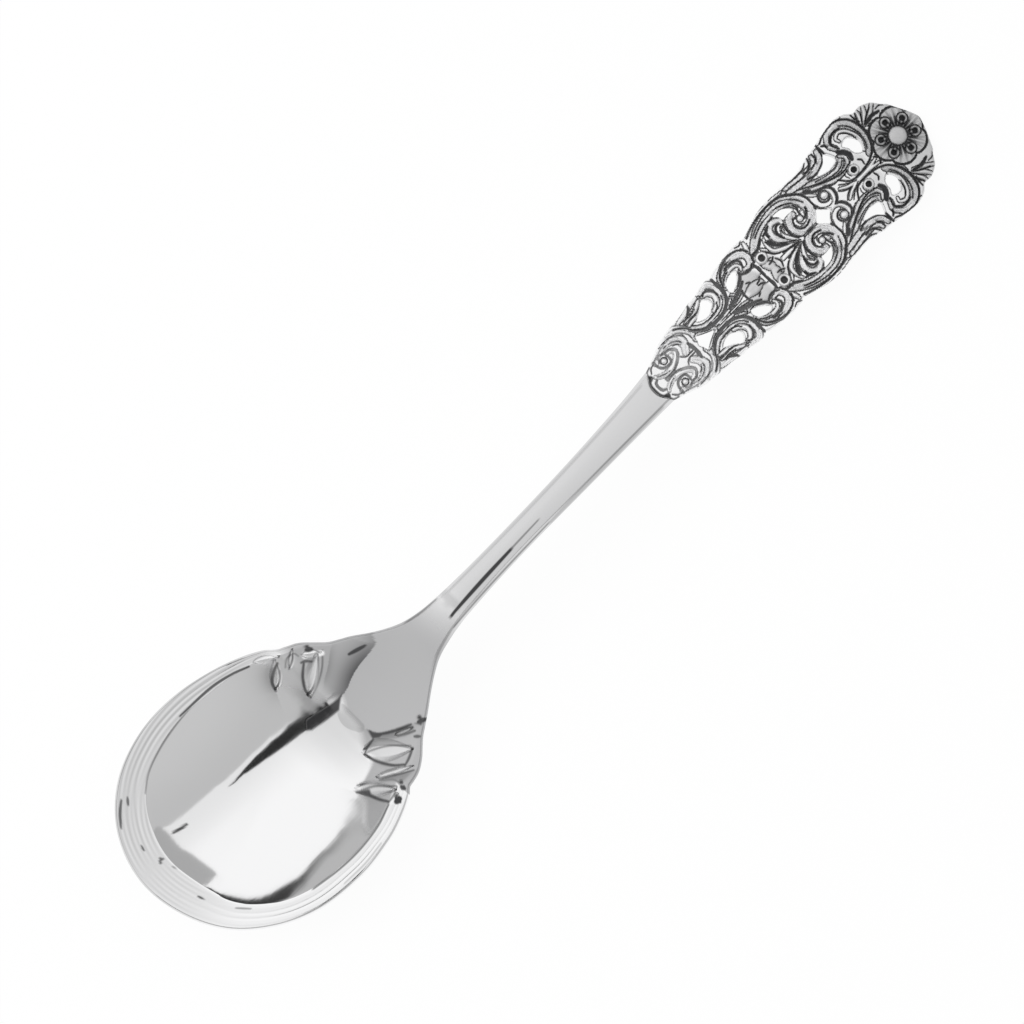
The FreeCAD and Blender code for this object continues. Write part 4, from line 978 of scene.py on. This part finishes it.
def sky_math(operation, a, b):
    node = nodes.new("ShaderNodeMath")
    node.operation = operation
    for socket, value in zip(node.inputs, (a, b)):
        if isinstance(value, (int, float)):
            socket.default_value = value
        else:
            links.new(value, socket)
    return node.outputs["Value"]


def sky_ramp(value, low, high, start=0.0, end=1.0):
    node = nodes.new("ShaderNodeMapRange")
    node.interpolation_type = "SMOOTHSTEP"
    node.inputs["From Min"].default_value = low
    node.inputs["From Max"].default_value = high
    node.inputs["To Min"].default_value = start
    node.inputs["To Max"].default_value = end
    links.new(value, node.inputs["Value"])
    return node.outputs["Result"]


def sky_mix(amount, first, second):
    # first where the amount is 0, second where it is 1
    return sky_math("ADD", sky_math("MULTIPLY", first, sky_math("SUBTRACT", 1.0, amount)),
                    sky_math("MULTIPLY", second, amount))


def sky_line(pairs):
    # A bent border across the sky, its tilt_y as a table of tilt_x
    node = nodes.new("ShaderNodeFloatCurve")
    spots = [((x + 1)/2, (y + 1)/2) for x, y in pairs]
    bend = node.mapping.curves[0].points
    bend[0].location = spots[0]
    bend[1].location = spots[-1]
    for spot in spots[1:-1]:
        bend.new(*spot)
    for point in bend:
        point.handle_type = "VECTOR"
    node.mapping.update()
    links.new(sky_math("MULTIPLY", sky_math("ADD", tilt_x, 1.0), 0.5), node.inputs["Value"])
    return sky_math("SUBTRACT", sky_math("MULTIPLY", node.outputs["Value"], 2.0), 1.0)


height = sky_math("MAXIMUM", sky_math("ADD", parts.outputs["Z"], 1.0), 0.05)
tilt_x = sky_math("DIVIDE", parts.outputs["X"], height)
tilt_y = sky_math("DIVIDE", parts.outputs["Y"], height)
soft_box = sky_ramp(tilt_y, -0.3, 0.2, 0.84, 1.0)
soft_box = sky_mix(sky_ramp(tilt_x, -0.7, -0.42, 1.0, 0.0), soft_box, 0.74)
card = sky_ramp(tilt_y, -0.9, -0.36, 0.6, 0.54)
card_line = sky_line([
    (-1, -0.03), (-0.7, -0.06), (-0.63, -0.12), (-0.6, -0.16), (-0.56, -0.2), (-0.49, -0.25),
    (-0.4, -0.291), (-0.24, -0.318), (-0.06, -0.325), (0.03, -0.335), (0.17, -0.332), (0.3, -0.322),
    (0.41, -0.322), (0.5, -0.322), (0.58, -0.325), (0.62, -0.342), (1, -0.37)])
past_card = sky_math("SUBTRACT", tilt_y, card_line)
light = sky_mix(sky_ramp(past_card, -0.014, 0.012, 1.0, 0.0), soft_box, card)
gap_start = sky_line([
    (-1, -0.06), (-0.74, -0.06), (-0.69, -0.075), (-0.65, -0.1), (-0.64, -0.12), (-0.59, -0.175),
    (-0.53, -0.215), (-0.4, -0.26), (-0.24, -0.283), (-0.06, -0.275), (0.09, -0.26), (0.13, -0.24),
    (1, -0.24)])
gap_end = sky_line([
    (-1, -0.065), (-0.75, -0.05), (-0.69, -0.04), (-0.66, -0.05), (-0.63, -0.07), (-0.58, -0.098),
    (-0.51, -0.13), (-0.41, -0.158), (-0.29, -0.192), (-0.17, -0.22), (-0.06, -0.245), (0.09, -0.255),
    (0.13, -0.26), (1, -0.26)])
gap = sky_math("MULTIPLY", sky_ramp(sky_math("SUBTRACT", tilt_y, gap_start), -0.006, 0.006),
               sky_ramp(sky_math("SUBTRACT", tilt_y, gap_end), -0.006, 0.006, 1.0, 0.0))
light = sky_mix(gap, light, 0.025)
# low wall of the studio: dark near the bowl's tip, grey towards the handle
wall_start = sky_line([
    (-1, 0.36), (-0.37, 0.504), (-0.27, 0.615), (-0.22, 0.67), (-0.13, 0.718), (-0.05, 0.75),
    (0.08, 0.757), (0.17, 0.745), (0.28, 0.7), (0.4, 0.645), (0.47, 0.598), (0.54, 0.53),
    (0.63, 0.39), (0.72, 0.235), (0.76, 0.18), (1, 0.15)])
dark_end = sky_line([
    (-1, 0.41), (-0.36, 0.54), (-0.27, 0.64), (-0.18, 0.735), (-0.05, 0.79), (0.02, 0.8), (0.16, 0.8),
    (0.23, 0.785), (0.31, 0.78), (0.42, 0.74), (0.49, 0.7), (0.6, 0.6), (0.8, 0.5), (1, 0.4)])
past_start = sky_math("SUBTRACT", tilt_y, wall_start)
past_dark = sky_math("SUBTRACT", tilt_y, dark_end)
wall_tone = sky_mix(sky_ramp(tilt_x, -0.3, 0.3), 0.4, 0.04)
wall_tone = sky_mix(sky_ramp(past_dark, -0.03, 0.03), wall_tone, 0.5)
light = sky_mix(sky_ramp(past_start, -0.012, 0.012), light, wall_tone)
# grey patch of the studio that the tip of the bowl reflects
tip_start = sky_math("SUBTRACT", tilt_x, sky_ramp(tilt_y, -0.37, -0.08, 0.62, 0.668))
tip_side = sky_ramp(tip_start, -0.006, 0.006)
tip_side = sky_math("MULTIPLY", tip_side, sky_ramp(tilt_y, 0.16, 0.17, 1.0, 0.0))
tip_side = sky_math("MULTIPLY", tip_side, sky_ramp(tilt_y, -0.39, -0.37))
light = sky_mix(tip_side, light, 0.42)
# the backdrop itself shows white
seen = nodes.new("ShaderNodeLightPath")
light = sky_mix(seen.outputs["Is Camera Ray"], light, 1.0)
tint = nodes.new("ShaderNodeCombineColor")
for name in ("Red", "Green", "Blue"):
    links.new(light, tint.inputs[name])
links.new(tint.outputs["Color"], sky.inputs["Color"])

bpy.ops.object.light_add(type="AREA", location=(-0.25, 0.5, 0.7))
lamp = bpy.context.active_object
lamp.name = "soft_lamp"
lamp.data.energy = 3.0
lamp.data.size = 0.6
lamp.visible_glossy = False
lamp.rotation_euler = (Vector((0, 0, 0)) - lamp.location).to_track_quat("-Z", "Y").to_euler()

# Camera: straight above, as high as the photograph's perspective suggests
sensor_width = 36.0
spoon_distance = 0.5835
width_in_view = 0.14015
bpy.ops.object.camera_add(location=(-0.00331, 0.00164, 0.590))
camera = bpy.context.active_object
camera.name = "camera"
camera.rotation_euler = (0, 0, math.radians(-46.157))
camera.data.sensor_width = sensor_width
camera.data.lens = sensor_width*spoon_distance/width_in_view
camera.data.clip_start = 0.01
bpy.context.scene.camera = camera
bpy.context.scene.view_settings.view_transform = "Standard"
